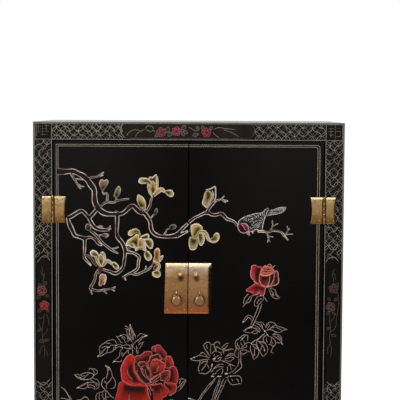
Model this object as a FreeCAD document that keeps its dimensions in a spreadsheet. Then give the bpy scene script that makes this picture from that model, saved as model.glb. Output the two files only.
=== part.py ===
import FreeCAD, Part
import math
import os

import Sketcher
from FreeCAD import Placement, Rotation, Vector

# Two-door lacquered cabinet on a low stand. Millimetres, +Z up, the front faces -Y.
# The origin is on the floor, under the middle of the overall box.

# Driving dimensions
SIZES = {
    # Case
    "case_width": 760,
    "case_height": 976,
    "case_depth": 400,
    "frame_thickness": 22,
    "stile_width": 47,
    "rail_height": 44,
    "rail_tenon_length": 24,
    "rail_tenon_thickness": 8,
    "rail_tenon_shoulder": 8,
    "side_thickness": 18,
    "top_thickness": 18,
    "bottom_thickness": 18,
    "bottom_housing": 6,
    "back_thickness": 6,
    "back_rebate": 8,
    "case_edge_radius": 2.5,
    # Shelves and their cleats
    "shelf_thickness": 16,
    "shelf_setback": 14,
    "shelf_clearance": 0.3,
    "lower_shelf_rise": 300,
    "upper_shelf_rise": 610,
    "cleat_height": 18,
    "cleat_width": 14,
    "cleat_setback": 24,
    # Doors and the strips that stop them
    "door_gap": 2.5,
    "door_edge_radius": 1.2,
    "stop_reach": 10,
    "stop_lap": 20,
    "stop_thickness": 12,
    "stop_clearance": 0.3,
    # Hinges
    "hinge_centre_inset": 214,
    "leaf_width": 25.5,
    "leaf_height": 64,
    "leaf_thickness": 2.2,
    "leaf_bevel": 1.2,
    "knuckle_radius": 3.8,
    "knuckle_standoff": 0.3,
    "knuckle_side_gap": 0.5,
    "knuckle_end_gap": 0.3,
    "pin_radius": 1.6,
    "pin_clearance": 0.05,
    "pin_cap_radius": 3.1,
    "pin_cap_height": 1.8,
    "leaf_nail_margin": 6.5,
    # Lock plates with their lugs
    "plate_width": 56,
    "plate_height": 124,
    "plate_thickness": 4.5,
    "plate_bevel_width": 5,
    "plate_rim_thickness": 1.7,
    "plate_edge_setback": 0.4,
    "plate_centre_drop": 407,
    "plate_nail_margin": 8,
    "lug_inset": 18,
    "lug_rise": 33,
    "lug_thickness": 7,
    "lug_height": 12,
    "lug_reach": 13,
    "lug_bore_radius": 2.6,
    "lug_edge_radius": 1,
    "lug_shank_radius": 2.5,
    "lug_shank_length": 14,
    # Drop pulls and their eyes
    "eye_inset": 27,
    "eye_drop": 10,
    "eye_radius": 2.75,
    "eye_wire_radius": 1.25,
    "eye_standoff": 4.4,
    "eye_shank_radius": 1.1,
    "eye_shank_length": 14,
    "pull_bar_radius": 1.2,
    "pull_length": 30,
    "pull_bowl_radius": 10.5,
    "pull_thickness": 5,
    "pull_neck_width": 8.4,
    "pull_neck_drop": 3.5,
    "pull_slot_width": 4.4,
    "pull_slot_drop": 4.8,
    "pull_edge_radius": 1.4,
    # Nails and screws
    "nail_head_radius": 2,
    "nail_head_height": 0.9,
    "nail_shank_radius": 0.8,
    "nail_shank_length": 12,
    "back_screw_head_radius": 2.6,
    "back_screw_head_height": 1.3,
    "back_screw_shank_radius": 1.3,
    "back_screw_shank_length": 24,
    "back_screw_end_margin": 60,
    "stand_screw_head_radius": 4.5,
    "stand_screw_head_height": 2.4,
    "stand_screw_shank_radius": 2.2,
    "stand_screw_shank_length": 44,
    # Blocks under the case's floor that the stand's screws grip
    "block_width": 34,
    "block_length": 70,
    "block_inset": 55,
    # Stand
    "stand_height": 244,
    "stand_ledge": 10,
    "stand_rail_width": 60,
    "stand_rail_thickness": 24,
    "stand_rail_round": 9,
    "leg_inset": 6,
    "leg_width": 52,
    "leg_knee_drop": 66,
    "leg_ankle_width": 31,
    "leg_ankle_rise": 62,
    "leg_hoof_width": 49,
    "leg_hoof_rise": 20,
    "leg_sole_width": 42,
    "leg_edge_radius": 3,
    "apron_thickness": 18,
    "apron_setback": 4,
    "apron_depth": 42,
    "apron_end_depth": 66,
    "apron_cusp_depth": 52,
    "apron_cusp_run": 34,
    "apron_bracket_run": 84,
    "apron_drop_depth": 60,
    "apron_drop_run": 58,
    "apron_edge_radius": 2,
    "apron_tenon_length": 18,
    "apron_tenon_thickness": 8,
    "apron_tenon_height": 28,
    "apron_tenon_drop": 7,
    # One overrun for every cut that passes right through
    "cut_overrun": 1,
}

# Counts, and the bulges of curved outlines (the tangent of a quarter of each arc's angle)
KNUCKLE_COUNT = 5
BACK_SCREWS_PER_SIDE = 5
KNEE_BULGE_SHARE = 0.113
HOOF_BULGE_SHARE = 0.205
SOLE_BULGE_SHARE = 0.12
BRACKET_BULGE_SHARE = 0.30
DROP_BULGE_SHARE = 0.151
PULL_SIDE_BULGE_SHARE = 0.19
QUARTER_BULGE_SHARE = math.tan(math.pi / 8)

# An edge counts as straight along an axis, or as lying at a place, within these
STRAIGHT_SHARE = 0.99
PICK_SLACK = 0.0001

SIDES = ("left", "right")
AXES = "xyz"

doc = FreeCAD.newDocument("cabinet_on_stand")
sheet = doc.addObject("Spreadsheet::Sheet", "sizes")
sub_parts = []


# Sizes that know both their value and their spreadsheet formula


class Size:
    """A length with its value and the formula that gives it from the sheet's cells."""

    def __init__(self, value, formula):
        self.value = float(value)
        self.formula = formula

    def __add__(self, other):
        return Size(self.value + value_of(other), f"({self.formula} + {formula_of(other)})")

    def __sub__(self, other):
        return Size(self.value - value_of(other), f"({self.formula} - {formula_of(other)})")

    def __rsub__(self, other):
        return Size(value_of(other) - self.value, f"({formula_of(other)} - {self.formula})")

    def __mul__(self, other):
        return Size(self.value * value_of(other), f"({self.formula} * {formula_of(other)})")

    def __truediv__(self, other):
        return Size(self.value / value_of(other), f"({self.formula} / {formula_of(other)})")

    def __neg__(self):
        return Size(-self.value, f"(-1 * {self.formula})")

    def root(self):
        return Size(math.sqrt(self.value), f"sqrt({self.formula})")

    __radd__ = __add__
    __rmul__ = __mul__


def value_of(length):
    return length.value if isinstance(length, Size) else float(length)


def formula_of(length):
    return length.formula if isinstance(length, Size) else repr(float(length))


class Sizes:
    """The sheet's cells as named Size values."""

    def __init__(self, table):
        for row, (alias, value) in enumerate(table.items(), 1):
            sheet.set(f"A{row}", alias)
            sheet.set(f"B{row}", str(value))
            sheet.setAlias(f"B{row}", alias)
            setattr(self, alias, Size(value, f"sizes.{alias}"))


def bind(item, path, length):
    item.setExpression(path, formula_of(length))


def bind_place(item, place):
    for axis, length in zip(AXES, place):
        bind(item, f"Placement.Base.{axis}", length)


# Bodies and their features

TURNS = {"x": Rotation(Vector(0, 1, 0), 90), "y": Rotation(Vector(1, 0, 0), -90), "z": Rotation()}
FRONTWARD = Rotation(Vector(1, 0, 0), 90)
BACKWARD = Rotation(Vector(1, 0, 0), -90)
DOWNWARD = Rotation(Vector(1, 0, 0), 180)


def new_body(label, place, turn_degrees=0):
    body = doc.addObject("PartDesign::Body", label)
    body.Label = label
    body.Placement = Placement(Vector(), Rotation(Vector(0, 0, 1), turn_degrees))
    bind_place(body, place)
    sub_parts.append(body)
    return body


def block(body, name, size, place=(0, 0, 0), cut=False):
    kind = "PartDesign::SubtractiveBox" if cut else "PartDesign::AdditiveBox"
    feature = body.newObject(kind, name)
    for prop, length in zip(("Length", "Width", "Height"), size):
        bind(feature, prop, length)
    bind_place(feature, place)
    doc.recompute()
    return feature


def rod(body, name, radius, length, place, along, cut=False):
    kind = "PartDesign::SubtractiveCylinder" if cut else "PartDesign::AdditiveCylinder"
    feature = body.newObject(kind, name)
    feature.Placement = Placement(Vector(), TURNS[along])
    bind(feature, "Radius", radius)
    bind(feature, "Height", length)
    bind_place(feature, place)
    doc.recompute()
    return feature


def new_sketch(body, name, role):
    sketch = body.newObject("Sketcher::SketchObject", name)
    plane = next(p for p in body.Origin.OriginFeatures if p.Role == role)
    sketch.AttachmentSupport = [(plane, "")]
    sketch.MapMode = "FlatFace"
    return sketch


def pin_point(sketch, geometry, end, point):
    for kind, length in zip(("DistanceX", "DistanceY"), point):
        constraint = Sketcher.Constraint(kind, -1, 1, geometry, end, value_of(length))
        index = sketch.addConstraint(constraint)
        bind(sketch, f"Constraints[{index}]", length)


def add_arc(sketch, start, end, bulge):
    """Adds an arc from start to end and returns its index. A positive bulge turns left."""
    across = [b - a for a, b in zip(start, end)]
    chord = (across[0] * across[0] + across[1] * across[1]).root()
    radius = chord * ((1 + bulge * bulge) / (4 * abs(bulge)))
    first, last = (start, end) if bulge > 0 else (end, start)
    a = Vector(*[value_of(length) for length in first], 0)
    b = Vector(*[value_of(length) for length in last], 0)
    left = Vector(a.y - b.y, b.x - a.x, 0).normalize()
    centre_offset = value_of(chord) * (1 - bulge * bulge) / (4 * abs(bulge))
    centre = (a + b) * 0.5 + left * centre_offset
    angles = [math.atan2(p.y - centre.y, p.x - centre.x) for p in (a, b)]
    circle = Part.Circle(centre, Vector(0, 0, 1), value_of(radius))
    index = sketch.addGeometry(Part.ArcOfCircle(circle, *angles), False)
    constraint = sketch.addConstraint(Sketcher.Constraint("Radius", index, value_of(radius)))
    bind(sketch, f"Constraints[{constraint}]", radius)
    return index


def outline(sketch, points):
    """A closed outline. Each point is (across, up) or (across, up, bulge of the edge that follows)."""
    ends = []
    for here, there in zip(points, points[1:] + points[:1]):
        start, end = here[:2], there[:2]
        if len(here) == 3:
            index = add_arc(sketch, start, end, here[2])
            ends.append((index, 1, 2) if here[2] > 0 else (index, 2, 1))
        else:
            line = [Vector(*[value_of(length) for length in point], 0) for point in (start, end)]
            ends.append((sketch.addGeometry(Part.LineSegment(*line), False), 1, 2))
    for place, (index, start, end) in enumerate(ends):
        after, after_start, _ = ends[(place + 1) % len(ends)]
        sketch.addConstraint(Sketcher.Constraint("Coincident", index, end, after, after_start))
        pin_point(sketch, index, start, points[place])
    doc.recompute()


def circles(sketch, places, radius):
    for place in places:
        centre = Vector(*[value_of(length) for length in place], 0)
        circle = Part.Circle(centre, Vector(0, 0, 1), value_of(radius))
        index = sketch.addGeometry(circle, False)
        pin_point(sketch, index, 3, place)
        constraint = sketch.addConstraint(Sketcher.Constraint("Radius", index, value_of(radius)))
        bind(sketch, f"Constraints[{constraint}]", radius)
    doc.recompute()


def pad(body, name, sketch, length, reverse=False, midplane=False):
    feature = body.newObject("PartDesign::Pad", name)
    feature.Profile = sketch
    feature.Reversed = reverse
    feature.Midplane = midplane
    bind(feature, "Length", length)
    doc.recompute()
    return feature


def pocket(body, name, sketch, length, reverse=False):
    before = body.Shape.Volume
    feature = body.newObject("PartDesign::Pocket", name)
    feature.Profile = sketch
    feature.Reversed = reverse
    bind(feature, "Length", length)
    doc.recompute()
    if body.Shape.Volume >= before:
        raise RuntimeError(f"{body.Label}: {name} cut nothing")
    return feature


def front_holes(body, name, places, radius, depth):
    """Round holes bored into a body's front face, which lies on its own XZ plane."""
    sketch = new_sketch(body, f"{name}_sketch", "XZ_Plane")
    circles(sketch, places, radius)
    pocket(body, name, sketch, depth)


def dress_edges(body, kind, name, prop, length, wanted):
    """A fillet or chamfer on the edges of the body's last feature that the test picks."""
    tip = body.Tip
    chosen = [f"Edge{i}" for i, edge in enumerate(tip.Shape.Edges, 1) if wanted(edge)]
    if not chosen:
        raise RuntimeError(f"{body.Label}: {name} finds no edge")
    feature = body.newObject(f"PartDesign::{kind}", name)
    feature.Base = (tip, chosen)
    bind(feature, prop, length)
    doc.recompute()
    return feature


def lies_at(edge, axis, length):
    """True if the whole edge lies at that place along the axis, in its body's own frame."""
    box = edge.BoundBox
    low, high = getattr(box, axis.upper() + "Min"), getattr(box, axis.upper() + "Max")
    return max(abs(low - value_of(length)), abs(high - value_of(length))) < PICK_SLACK


def runs_along(edge, axis):
    box = edge.BoundBox
    spans = {a: getattr(box, a.upper() + "Length") for a in AXES}
    return spans[axis] > STRAIGHT_SHARE * edge.Length and isinstance(edge.Curve, Part.Line)


def group(label, solids):
    """One sub-part made of several alike solids."""
    compound = doc.addObject("Part::Compound", label)
    compound.Label = label
    compound.Links = solids
    sub_parts.append(compound)
    doc.recompute()


def fasteners(label, places, turn, head_radius, head_height, shank_radius, shank_length):
    """A group of domed nails or screws, each a solid of its own, heads pointing the way they are turned."""
    dome_radius = (head_radius * head_radius + head_height * head_height) / (2 * head_height)
    made = []
    for number, place in enumerate(places, 1):
        shank = doc.addObject("Part::Cylinder", f"{label}_shank_{number}")
        bind(shank, "Radius", shank_radius)
        bind(shank, "Height", shank_length)
        bind(shank, "Placement.Base.z", -shank_length)
        head = doc.addObject("Part::Sphere", f"{label}_head_{number}")
        bind(head, "Radius", dome_radius)
        rise = (dome_radius - head_height) / dome_radius
        head.setExpression("Angle1", f"asin({rise.formula})")
        bind(head, "Placement.Base.z", head_height - dome_radius)
        whole = doc.addObject("Part::Fuse", f"{label}_{number}")
        whole.Base = shank
        whole.Tool = head
        whole.Placement = Placement(Vector(), turn)
        bind_place(whole, place)
        made.append(whole)
    group(label, made)


# Places that several pieces share

s = Sizes(SIZES)
doc.recompute()

over = s.cut_overrun
hardware_reach = s.plate_thickness + s.lug_reach
front = -(s.case_depth + s.stand_ledge - hardware_reach) / 2
back = front + s.case_depth
frame_back = front + s.frame_thickness
left = -s.case_width / 2
case_base = s.stand_height
case_top = case_base + s.case_height
floor_top = case_base + s.rail_height
inner_width = s.case_width - 2 * s.side_thickness
carcass_depth = s.case_depth - s.frame_thickness
side_height = s.case_height - s.top_thickness
rail_length = s.case_width - 2 * s.stile_width
opening_height = s.case_height - 2 * s.rail_height
door_width = (rail_length - 3 * s.door_gap) / 2
door_height = opening_height - 2 * s.door_gap
door_thickness = s.frame_thickness - s.stop_clearance
door_base = floor_top + s.door_gap
hinge_heights = {
    "upper": case_top - s.hinge_centre_inset,
    "lower": case_base + s.hinge_centre_inset,
}
axis_inset = s.stile_width + s.door_gap / 2
axis_front = front - s.knuckle_radius - s.knuckle_standoff
knuckle_clear = s.knuckle_radius + s.knuckle_side_gap
plate_base = case_top - s.plate_centre_drop - s.plate_height / 2
plate_front = front - s.plate_thickness
plate_gap = s.door_gap / 2 + s.plate_edge_setback


def leaf_nail_places():
    """Places of a leaf's nails from its lower corner: (across, up)."""
    across = (s.leaf_nail_margin, s.leaf_width - s.leaf_nail_margin)
    up = (s.leaf_nail_margin, s.leaf_height - s.leaf_nail_margin)
    return [(x, z) for x in across for z in up]


def plate_nail_places():
    across = (s.plate_nail_margin, s.plate_width - s.plate_nail_margin)
    up = (s.plate_nail_margin, s.plate_height - s.plate_nail_margin)
    return [(x, z) for x in across for z in up]


def mirrored_start(side, inner, width):
    """The left-hand x of a piece whose edge nearest the middle is inner from the centre line."""
    return -inner - width if side == "left" else inner


leaf_inner_frame = s.case_width / 2 - axis_inset + knuckle_clear
leaf_inner_door = s.case_width / 2 - axis_inset - knuckle_clear - s.leaf_width
lug_inner = s.door_gap / 2 + s.lug_inset
eye_inner = s.door_gap / 2 + s.eye_inset


# Case


def make_stile(side):
    x = left if side == "left" else -left - s.stile_width
    body = new_body(f"{side}_stile", (x, front, case_base))
    block(body, "blank", (s.stile_width, s.frame_thickness, s.case_height))
    mortise_x = s.stile_width - s.rail_tenon_length if side == "left" else 0
    mortise_y = (s.frame_thickness - s.rail_tenon_thickness) / 2
    mortise_height = s.rail_height - 2 * s.rail_tenon_shoulder
    for name, base in (("lower", 0), ("upper", s.case_height - s.rail_height)):
        size = (s.rail_tenon_length, s.rail_tenon_thickness, mortise_height)
        place = (mortise_x, mortise_y, base + s.rail_tenon_shoulder)
        block(body, f"{name}_mortise", size, place, cut=True)
    leaf_x = mirrored_start(side, leaf_inner_frame, s.leaf_width) - x
    places = [
        (leaf_x + across, height - s.leaf_height / 2 - case_base + up)
        for height in hinge_heights.values()
        for across, up in leaf_nail_places()
    ]
    front_holes(body, "nail_holes", places, s.nail_shank_radius, s.nail_shank_length - s.leaf_thickness)
    outer = 0 if side == "left" else s.stile_width

    def outer_corner(edge):
        upright = runs_along(edge, "z") and lies_at(edge, "x", outer)
        crown = runs_along(edge, "x") and lies_at(edge, "z", s.case_height)
        return lies_at(edge, "y", 0) and (upright or crown)

    dress_edges(body, "Fillet", "soft_edges", "Radius", s.case_edge_radius, outer_corner)


def make_rail(level):
    base = case_base if level == "bottom" else case_top - s.rail_height
    body = new_body(f"{level}_rail", (left + s.stile_width, front, base))
    block(body, "blank", (rail_length, s.frame_thickness, s.rail_height))
    tenon = (
        rail_length + 2 * s.rail_tenon_length,
        s.rail_tenon_thickness,
        s.rail_height - 2 * s.rail_tenon_shoulder,
    )
    tenon_y = (s.frame_thickness - s.rail_tenon_thickness) / 2
    block(body, "tenons", tenon, (-s.rail_tenon_length, tenon_y, s.rail_tenon_shoulder))
    if level == "top":

        def crown(edge):
            return runs_along(edge, "x") and lies_at(edge, "y", 0) and lies_at(edge, "z", s.rail_height)

        dress_edges(body, "Fillet", "soft_edge", "Radius", s.case_edge_radius, crown)


def back_screw_heights():
    run = side_height - 2 * s.back_screw_end_margin
    steps = BACK_SCREWS_PER_SIDE - 1
    return [s.back_screw_end_margin + run * (number / steps) for number in range(BACK_SCREWS_PER_SIDE)]


def stand_screw_ends():
    middle = s.block_inset + s.block_length / 2
    return (middle, carcass_depth - middle)


def make_side(side):
    x = left if side == "left" else -left - s.side_thickness
    body = new_body(f"{side}_side", (x, frame_back, case_base))
    block(body, "blank", (s.side_thickness, carcass_depth, side_height))
    rebate_x = s.side_thickness - s.back_rebate if side == "left" else -over
    rebate_size = (s.back_rebate + over, s.back_thickness + over, side_height + 2 * over)
    block(body, "back_rebate", rebate_size, (rebate_x, carcass_depth - s.back_thickness, -over), cut=True)
    housing_x = s.side_thickness - s.bottom_housing if side == "left" else -over
    housing_size = (s.bottom_housing + over, carcass_depth - s.back_thickness + over, s.bottom_thickness)
    housing_place = (housing_x, -over, s.rail_height - s.bottom_thickness)
    block(body, "bottom_housing", housing_size, housing_place, cut=True)
    screw_x = s.side_thickness - s.back_rebate / 2 if side == "left" else s.back_rebate / 2
    screw_depth = s.back_screw_shank_length - s.back_thickness
    for number, height in enumerate(back_screw_heights(), 1):
        place = (screw_x, carcass_depth - s.back_thickness - screw_depth, height)
        length = screw_depth + over
        rod(body, f"back_screw_hole_{number}", s.back_screw_shank_radius, length, place, "y", cut=True)


def make_top_board():
    body = new_body("top_board", (left, frame_back, case_top - s.top_thickness))
    block(body, "blank", (s.case_width, carcass_depth, s.top_thickness))

    def upper_ends(edge):
        return lies_at(edge, "z", s.top_thickness) and not lies_at(edge, "y", 0)

    dress_edges(body, "Fillet", "soft_edges", "Radius", s.case_edge_radius, upper_ends)


def make_bottom_board():
    place = (left + s.side_thickness - s.bottom_housing, frame_back, floor_top - s.bottom_thickness)
    body = new_body("bottom_board", place)
    size = (inner_width + 2 * s.bottom_housing, carcass_depth - s.back_thickness, s.bottom_thickness)
    block(body, "blank", size)


def make_back_panel():
    width = inner_width + 2 * s.back_rebate
    body = new_body("back_panel", (-width / 2, back - s.back_thickness, case_base))
    block(body, "blank", (width, s.back_thickness, side_height))
    edges = (s.back_rebate / 2, width - s.back_rebate / 2)
    places = [(x, z) for x in edges for z in back_screw_heights()]
    front_holes(body, "screw_holes", places, s.back_screw_shank_radius, s.back_thickness)


def make_back_screws():
    edge = inner_width / 2 + s.back_rebate / 2
    places = [(x, back, case_base + z) for x in (-edge, edge) for z in back_screw_heights()]
    fasteners(
        "back_panel_screws",
        places,
        BACKWARD,
        s.back_screw_head_radius,
        s.back_screw_head_height,
        s.back_screw_shank_radius,
        s.back_screw_shank_length,
    )


def make_shelf(level, rise):
    depth = carcass_depth - s.back_thickness - s.shelf_setback
    base = floor_top + rise
    width = inner_width - 2 * s.shelf_clearance
    body = new_body(f"{level}_shelf", (-width / 2, frame_back + s.shelf_setback, base))
    block(body, "blank", (width, depth, s.shelf_thickness))

    def nosing(edge):
        return runs_along(edge, "x") and lies_at(edge, "y", 0)

    dress_edges(body, "Fillet", "nosing", "Radius", s.case_edge_radius, nosing)
    cleats = []
    for side in SIDES:
        cleat = doc.addObject("Part::Box", f"{level}_{side}_cleat")
        bind(cleat, "Length", s.cleat_width)
        bind(cleat, "Width", depth - s.cleat_setback)
        bind(cleat, "Height", s.cleat_height)
        x = mirrored_start(side, inner_width / 2 - s.cleat_width, s.cleat_width)
        bind_place(cleat, (x, frame_back + s.shelf_setback + s.cleat_setback, base - s.cleat_height))
        cleats.append(cleat)
    group(f"{level}_shelf_cleats", cleats)


def make_door_stops():
    upper_base = case_top - s.rail_height - s.stop_reach
    upper = new_body("upper_door_stop", (-inner_width / 2, frame_back, upper_base))
    block(upper, "strip", (inner_width, s.stop_thickness, s.stop_reach + s.stop_lap))
    lower = new_body("lower_door_stop", (-inner_width / 2, frame_back, floor_top))
    block(lower, "strip", (inner_width, s.stop_thickness, s.stop_reach))


# Doors


def make_door(side):
    x = mirrored_start(side, s.door_gap / 2, door_width)
    body = new_body(f"{side}_door", (x, front, door_base))
    block(body, "slab", (door_width, door_thickness, door_height))
    leaf_x = mirrored_start(side, leaf_inner_door, s.leaf_width) - x
    leaf_places = [
        (leaf_x + across, height - s.leaf_height / 2 - door_base + up)
        for height in hinge_heights.values()
        for across, up in leaf_nail_places()
    ]
    leaf_depth = s.nail_shank_length - s.leaf_thickness
    front_holes(body, "hinge_nail_holes", leaf_places, s.nail_shank_radius, leaf_depth)
    plate_x = mirrored_start(side, plate_gap, s.plate_width) - x
    plate_places = [(plate_x + across, plate_base - door_base + up) for across, up in plate_nail_places()]
    plate_depth = s.nail_shank_length - s.plate_thickness
    front_holes(body, "plate_nail_holes", plate_places, s.nail_shank_radius, plate_depth)
    centre_height = plate_base + s.plate_height / 2 - door_base
    lug_place = (mirrored_start(side, lug_inner, 0) - x, centre_height + s.lug_rise)
    front_holes(body, "lug_hole", [lug_place], s.lug_shank_radius, s.lug_shank_length - s.plate_thickness)
    eye_place = (mirrored_start(side, eye_inner, 0) - x, centre_height - s.eye_drop)
    front_holes(body, "eye_hole", [eye_place], s.eye_shank_radius, s.eye_shank_length - s.plate_thickness)

    def face_edges(edge):
        return lies_at(edge, "y", 0) and isinstance(edge.Curve, Part.Line)

    dress_edges(body, "Fillet", "soft_edges", "Radius", s.door_edge_radius, face_edges)


# Hinges

knuckle_length = (s.leaf_height - (KNUCKLE_COUNT - 1) * s.knuckle_end_gap) / KNUCKLE_COUNT
knuckle_pitch = knuckle_length + s.knuckle_end_gap


def make_leaf(label, side, height, carrier):
    """One leaf. The frame's leaf has the odd knuckles and holds the pin; the door's turns on it."""
    inner = leaf_inner_frame if carrier == "frame" else leaf_inner_door
    x = mirrored_start(side, inner, s.leaf_width)
    base = height - s.leaf_height / 2
    body = new_body(label, (x, front - s.leaf_thickness, base))
    block(body, "plate", (s.leaf_width, s.leaf_thickness, s.leaf_height))
    axis_at_right = (side == "left") == (carrier == "frame")
    tab_edge = s.leaf_width if axis_at_right else -knuckle_clear
    axis_x = s.leaf_width + knuckle_clear if axis_at_right else -knuckle_clear
    axis_y = axis_front - front + s.leaf_thickness
    far_edge = 0 if axis_at_right else s.leaf_width

    def bevelled(edge):
        return lies_at(edge, "y", 0) and (not runs_along(edge, "z") or lies_at(edge, "x", far_edge))

    dress_edges(body, "Chamfer", "bevel", "Size", s.leaf_bevel, bevelled)
    first = 0 if carrier == "frame" else 1
    bore = s.pin_radius if carrier == "frame" else s.pin_radius + s.pin_clearance
    for number in range(first, KNUCKLE_COUNT, 2):
        z = knuckle_pitch * number
        block(body, f"tab_{number}", (knuckle_clear, s.leaf_thickness, knuckle_length), (tab_edge, 0, z))
        rod(body, f"knuckle_{number}", s.knuckle_radius, knuckle_length, (axis_x, axis_y, z), "z")
    bore_length = s.leaf_height + 2 * over
    rod(body, "pin_bore", bore, bore_length, (axis_x, axis_y, -over), "z", cut=True)
    front_holes(body, "nail_holes", leaf_nail_places(), s.nail_shank_radius, s.leaf_thickness)


def make_hinge_pin(label, side, height):
    axis_x = s.case_width / 2 - axis_inset
    x = -axis_x if side == "left" else axis_x
    body = new_body(label, (x, axis_front, height - s.leaf_height / 2))
    rod(body, "shaft", s.pin_radius, s.leaf_height, (0, 0, 0), "z")
    for name, z in (("lower_cap", -s.pin_cap_height), ("upper_cap", s.leaf_height)):
        rod(body, name, s.pin_cap_radius, s.pin_cap_height, (0, 0, z), "z")

    def cap_rims(edge):
        return lies_at(edge, "z", -s.pin_cap_height) or lies_at(edge, "z", s.leaf_height + s.pin_cap_height)

    dress_edges(body, "Fillet", "domed_caps", "Radius", s.pin_cap_height / 2, cap_rims)


def make_hinges():
    for side in SIDES:
        for level, height in hinge_heights.items():
            make_leaf(f"{side}_{level}_hinge_frame_leaf", side, height, "frame")
            make_leaf(f"{side}_{level}_hinge_door_leaf", side, height, "door")
            make_hinge_pin(f"{side}_{level}_hinge_pin", side, height)


def leaf_nails(side, carrier):
    inner = leaf_inner_frame if carrier == "frame" else leaf_inner_door
    x = mirrored_start(side, inner, s.leaf_width)
    return [
        (x + across, front - s.leaf_thickness, height - s.leaf_height / 2 + up)
        for height in hinge_heights.values()
        for across, up in leaf_nail_places()
    ]


def make_nails(label, places):
    sizes = (s.nail_head_radius, s.nail_head_height, s.nail_shank_radius, s.nail_shank_length)
    fasteners(label, places, FRONTWARD, *sizes)


# Lock plates, lugs and drop pulls


def make_lock_plate(side):
    x = mirrored_start(side, plate_gap, s.plate_width)
    body = new_body(f"{side}_lock_plate", (x, plate_front, plate_base))
    # The section has a bevel at its top and bottom, and the outer side is then bevelled to match.
    bevel, slope = s.plate_bevel_width, s.plate_thickness - s.plate_rim_thickness
    section = new_sketch(body, "section", "YZ_Plane")
    points = [
        (s.plate_thickness, 0),
        (s.plate_thickness, s.plate_height),
        (slope, s.plate_height),
        (0, s.plate_height - bevel),
        (0, bevel),
        (slope, 0),
    ]
    outline(section, points)
    pad(body, "plate", section, s.plate_width)
    outer = 0 if side == "left" else s.plate_width
    inner = bevel if side == "left" else s.plate_width - bevel
    side_bevel = new_sketch(body, "side_bevel_sketch", "XY_Plane")
    outline(side_bevel, [(outer, 0), (inner, 0), (outer, slope)])
    pocket(body, "side_bevel", side_bevel, s.plate_height, reverse=True)
    centre = s.plate_height / 2
    front_holes(body, "nail_holes", plate_nail_places(), s.nail_shank_radius, s.plate_thickness)
    lug_place = (mirrored_start(side, lug_inner, 0) - x, centre + s.lug_rise)
    front_holes(body, "lug_hole", [lug_place], s.lug_shank_radius, s.plate_thickness)
    eye_place = (mirrored_start(side, eye_inner, 0) - x, centre - s.eye_drop)
    front_holes(body, "eye_hole", [eye_place], s.eye_shank_radius, s.plate_thickness)


def make_lug(side):
    """A round-nosed lug with a cross hole for a lock pin, and a shank through the plate."""
    x = mirrored_start(side, lug_inner, 0)
    z = plate_base + s.plate_height / 2 + s.lug_rise
    body = new_body(f"{side}_lock_lug", (x, plate_front, z))
    half = s.lug_height / 2
    nose = -(s.lug_reach - half)
    profile = new_sketch(body, "profile", "YZ_Plane")
    points = [
        (0, half),
        (nose, half, QUARTER_BULGE_SHARE),
        (-s.lug_reach, 0, QUARTER_BULGE_SHARE),
        (nose, -half),
        (0, -half),
    ]
    outline(profile, points)
    pad(body, "tongue", profile, s.lug_thickness, midplane=True)

    def side_rims(edge):
        rim = lies_at(edge, "x", s.lug_thickness / 2) or lies_at(edge, "x", -s.lug_thickness / 2)
        return rim and not lies_at(edge, "y", 0)

    dress_edges(body, "Fillet", "soft_edges", "Radius", s.lug_edge_radius, side_rims)
    bore_length = s.lug_thickness + 2 * over
    rod(body, "pin_bore", s.lug_bore_radius, bore_length, (-bore_length / 2, nose, 0), "x", cut=True)
    rod(body, "shank", s.lug_shank_radius, s.lug_shank_length, (0, 0, 0), "y")


def make_eye(side):
    """The ring that carries a drop pull, on a shank through the plate into the door."""
    x = mirrored_start(side, eye_inner, 0)
    z = plate_base + s.plate_height / 2 - s.eye_drop
    body = new_body(f"{side}_pull_eye", (x, plate_front - s.eye_standoff, z))
    ring = body.newObject("PartDesign::AdditiveTorus", "ring")
    ring.Placement = Placement(Vector(), TURNS["x"])
    bind(ring, "Radius1", s.eye_radius)
    bind(ring, "Radius2", s.eye_wire_radius)
    doc.recompute()
    length = s.eye_standoff - s.eye_radius + s.eye_shank_length
    rod(body, "shank", s.eye_shank_radius, length, (0, s.eye_radius, 0), "y")


def make_drop_pull(side):
    """A flat pear-shaped drop: a fork with a round bar that hangs in the eye, above a round bowl."""
    x = mirrored_start(side, eye_inner, 0)
    z = plate_base + s.plate_height / 2 - s.eye_drop
    body = new_body(f"{side}_drop_pull", (x, plate_front - s.eye_standoff, z))
    neck = s.pull_neck_width / 2
    slot = s.pull_slot_width / 2
    top = s.pull_bar_radius
    bowl_centre = s.pull_length - s.pull_bowl_radius
    # The sides run from the neck to the bowl's widest points, and a half circle closes the bowl.
    profile = new_sketch(body, "profile", "XZ_Plane")
    bowl = s.pull_bowl_radius
    points = [
        (slot, top),
        (slot, -s.pull_slot_drop, -QUARTER_BULGE_SHARE),
        (0, -s.pull_slot_drop - slot, -QUARTER_BULGE_SHARE),
        (-slot, -s.pull_slot_drop),
        (-slot, top),
        (-neck, top),
        (-neck, -s.pull_neck_drop, PULL_SIDE_BULGE_SHARE),
        (-bowl, -bowl_centre, QUARTER_BULGE_SHARE),
        (0, -s.pull_length, QUARTER_BULGE_SHARE),
        (bowl, -bowl_centre, PULL_SIDE_BULGE_SHARE),
        (neck, -s.pull_neck_drop),
        (neck, top),
    ]
    outline(profile, points)
    pad(body, "drop", profile, s.pull_thickness, midplane=True)

    def outer_rims(edge):
        rim = lies_at(edge, "y", s.pull_thickness / 2) or lies_at(edge, "y", -s.pull_thickness / 2)
        curved = isinstance(edge.Curve, Part.Circle) and edge.Curve.Radius > s.pull_slot_width.value
        return rim and curved

    dress_edges(body, "Fillet", "soft_edges", "Radius", s.pull_edge_radius, outer_rims)
    rod(body, "bar", s.pull_bar_radius, s.pull_neck_width, (-neck, 0, 0), "x")


# Stand

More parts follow.
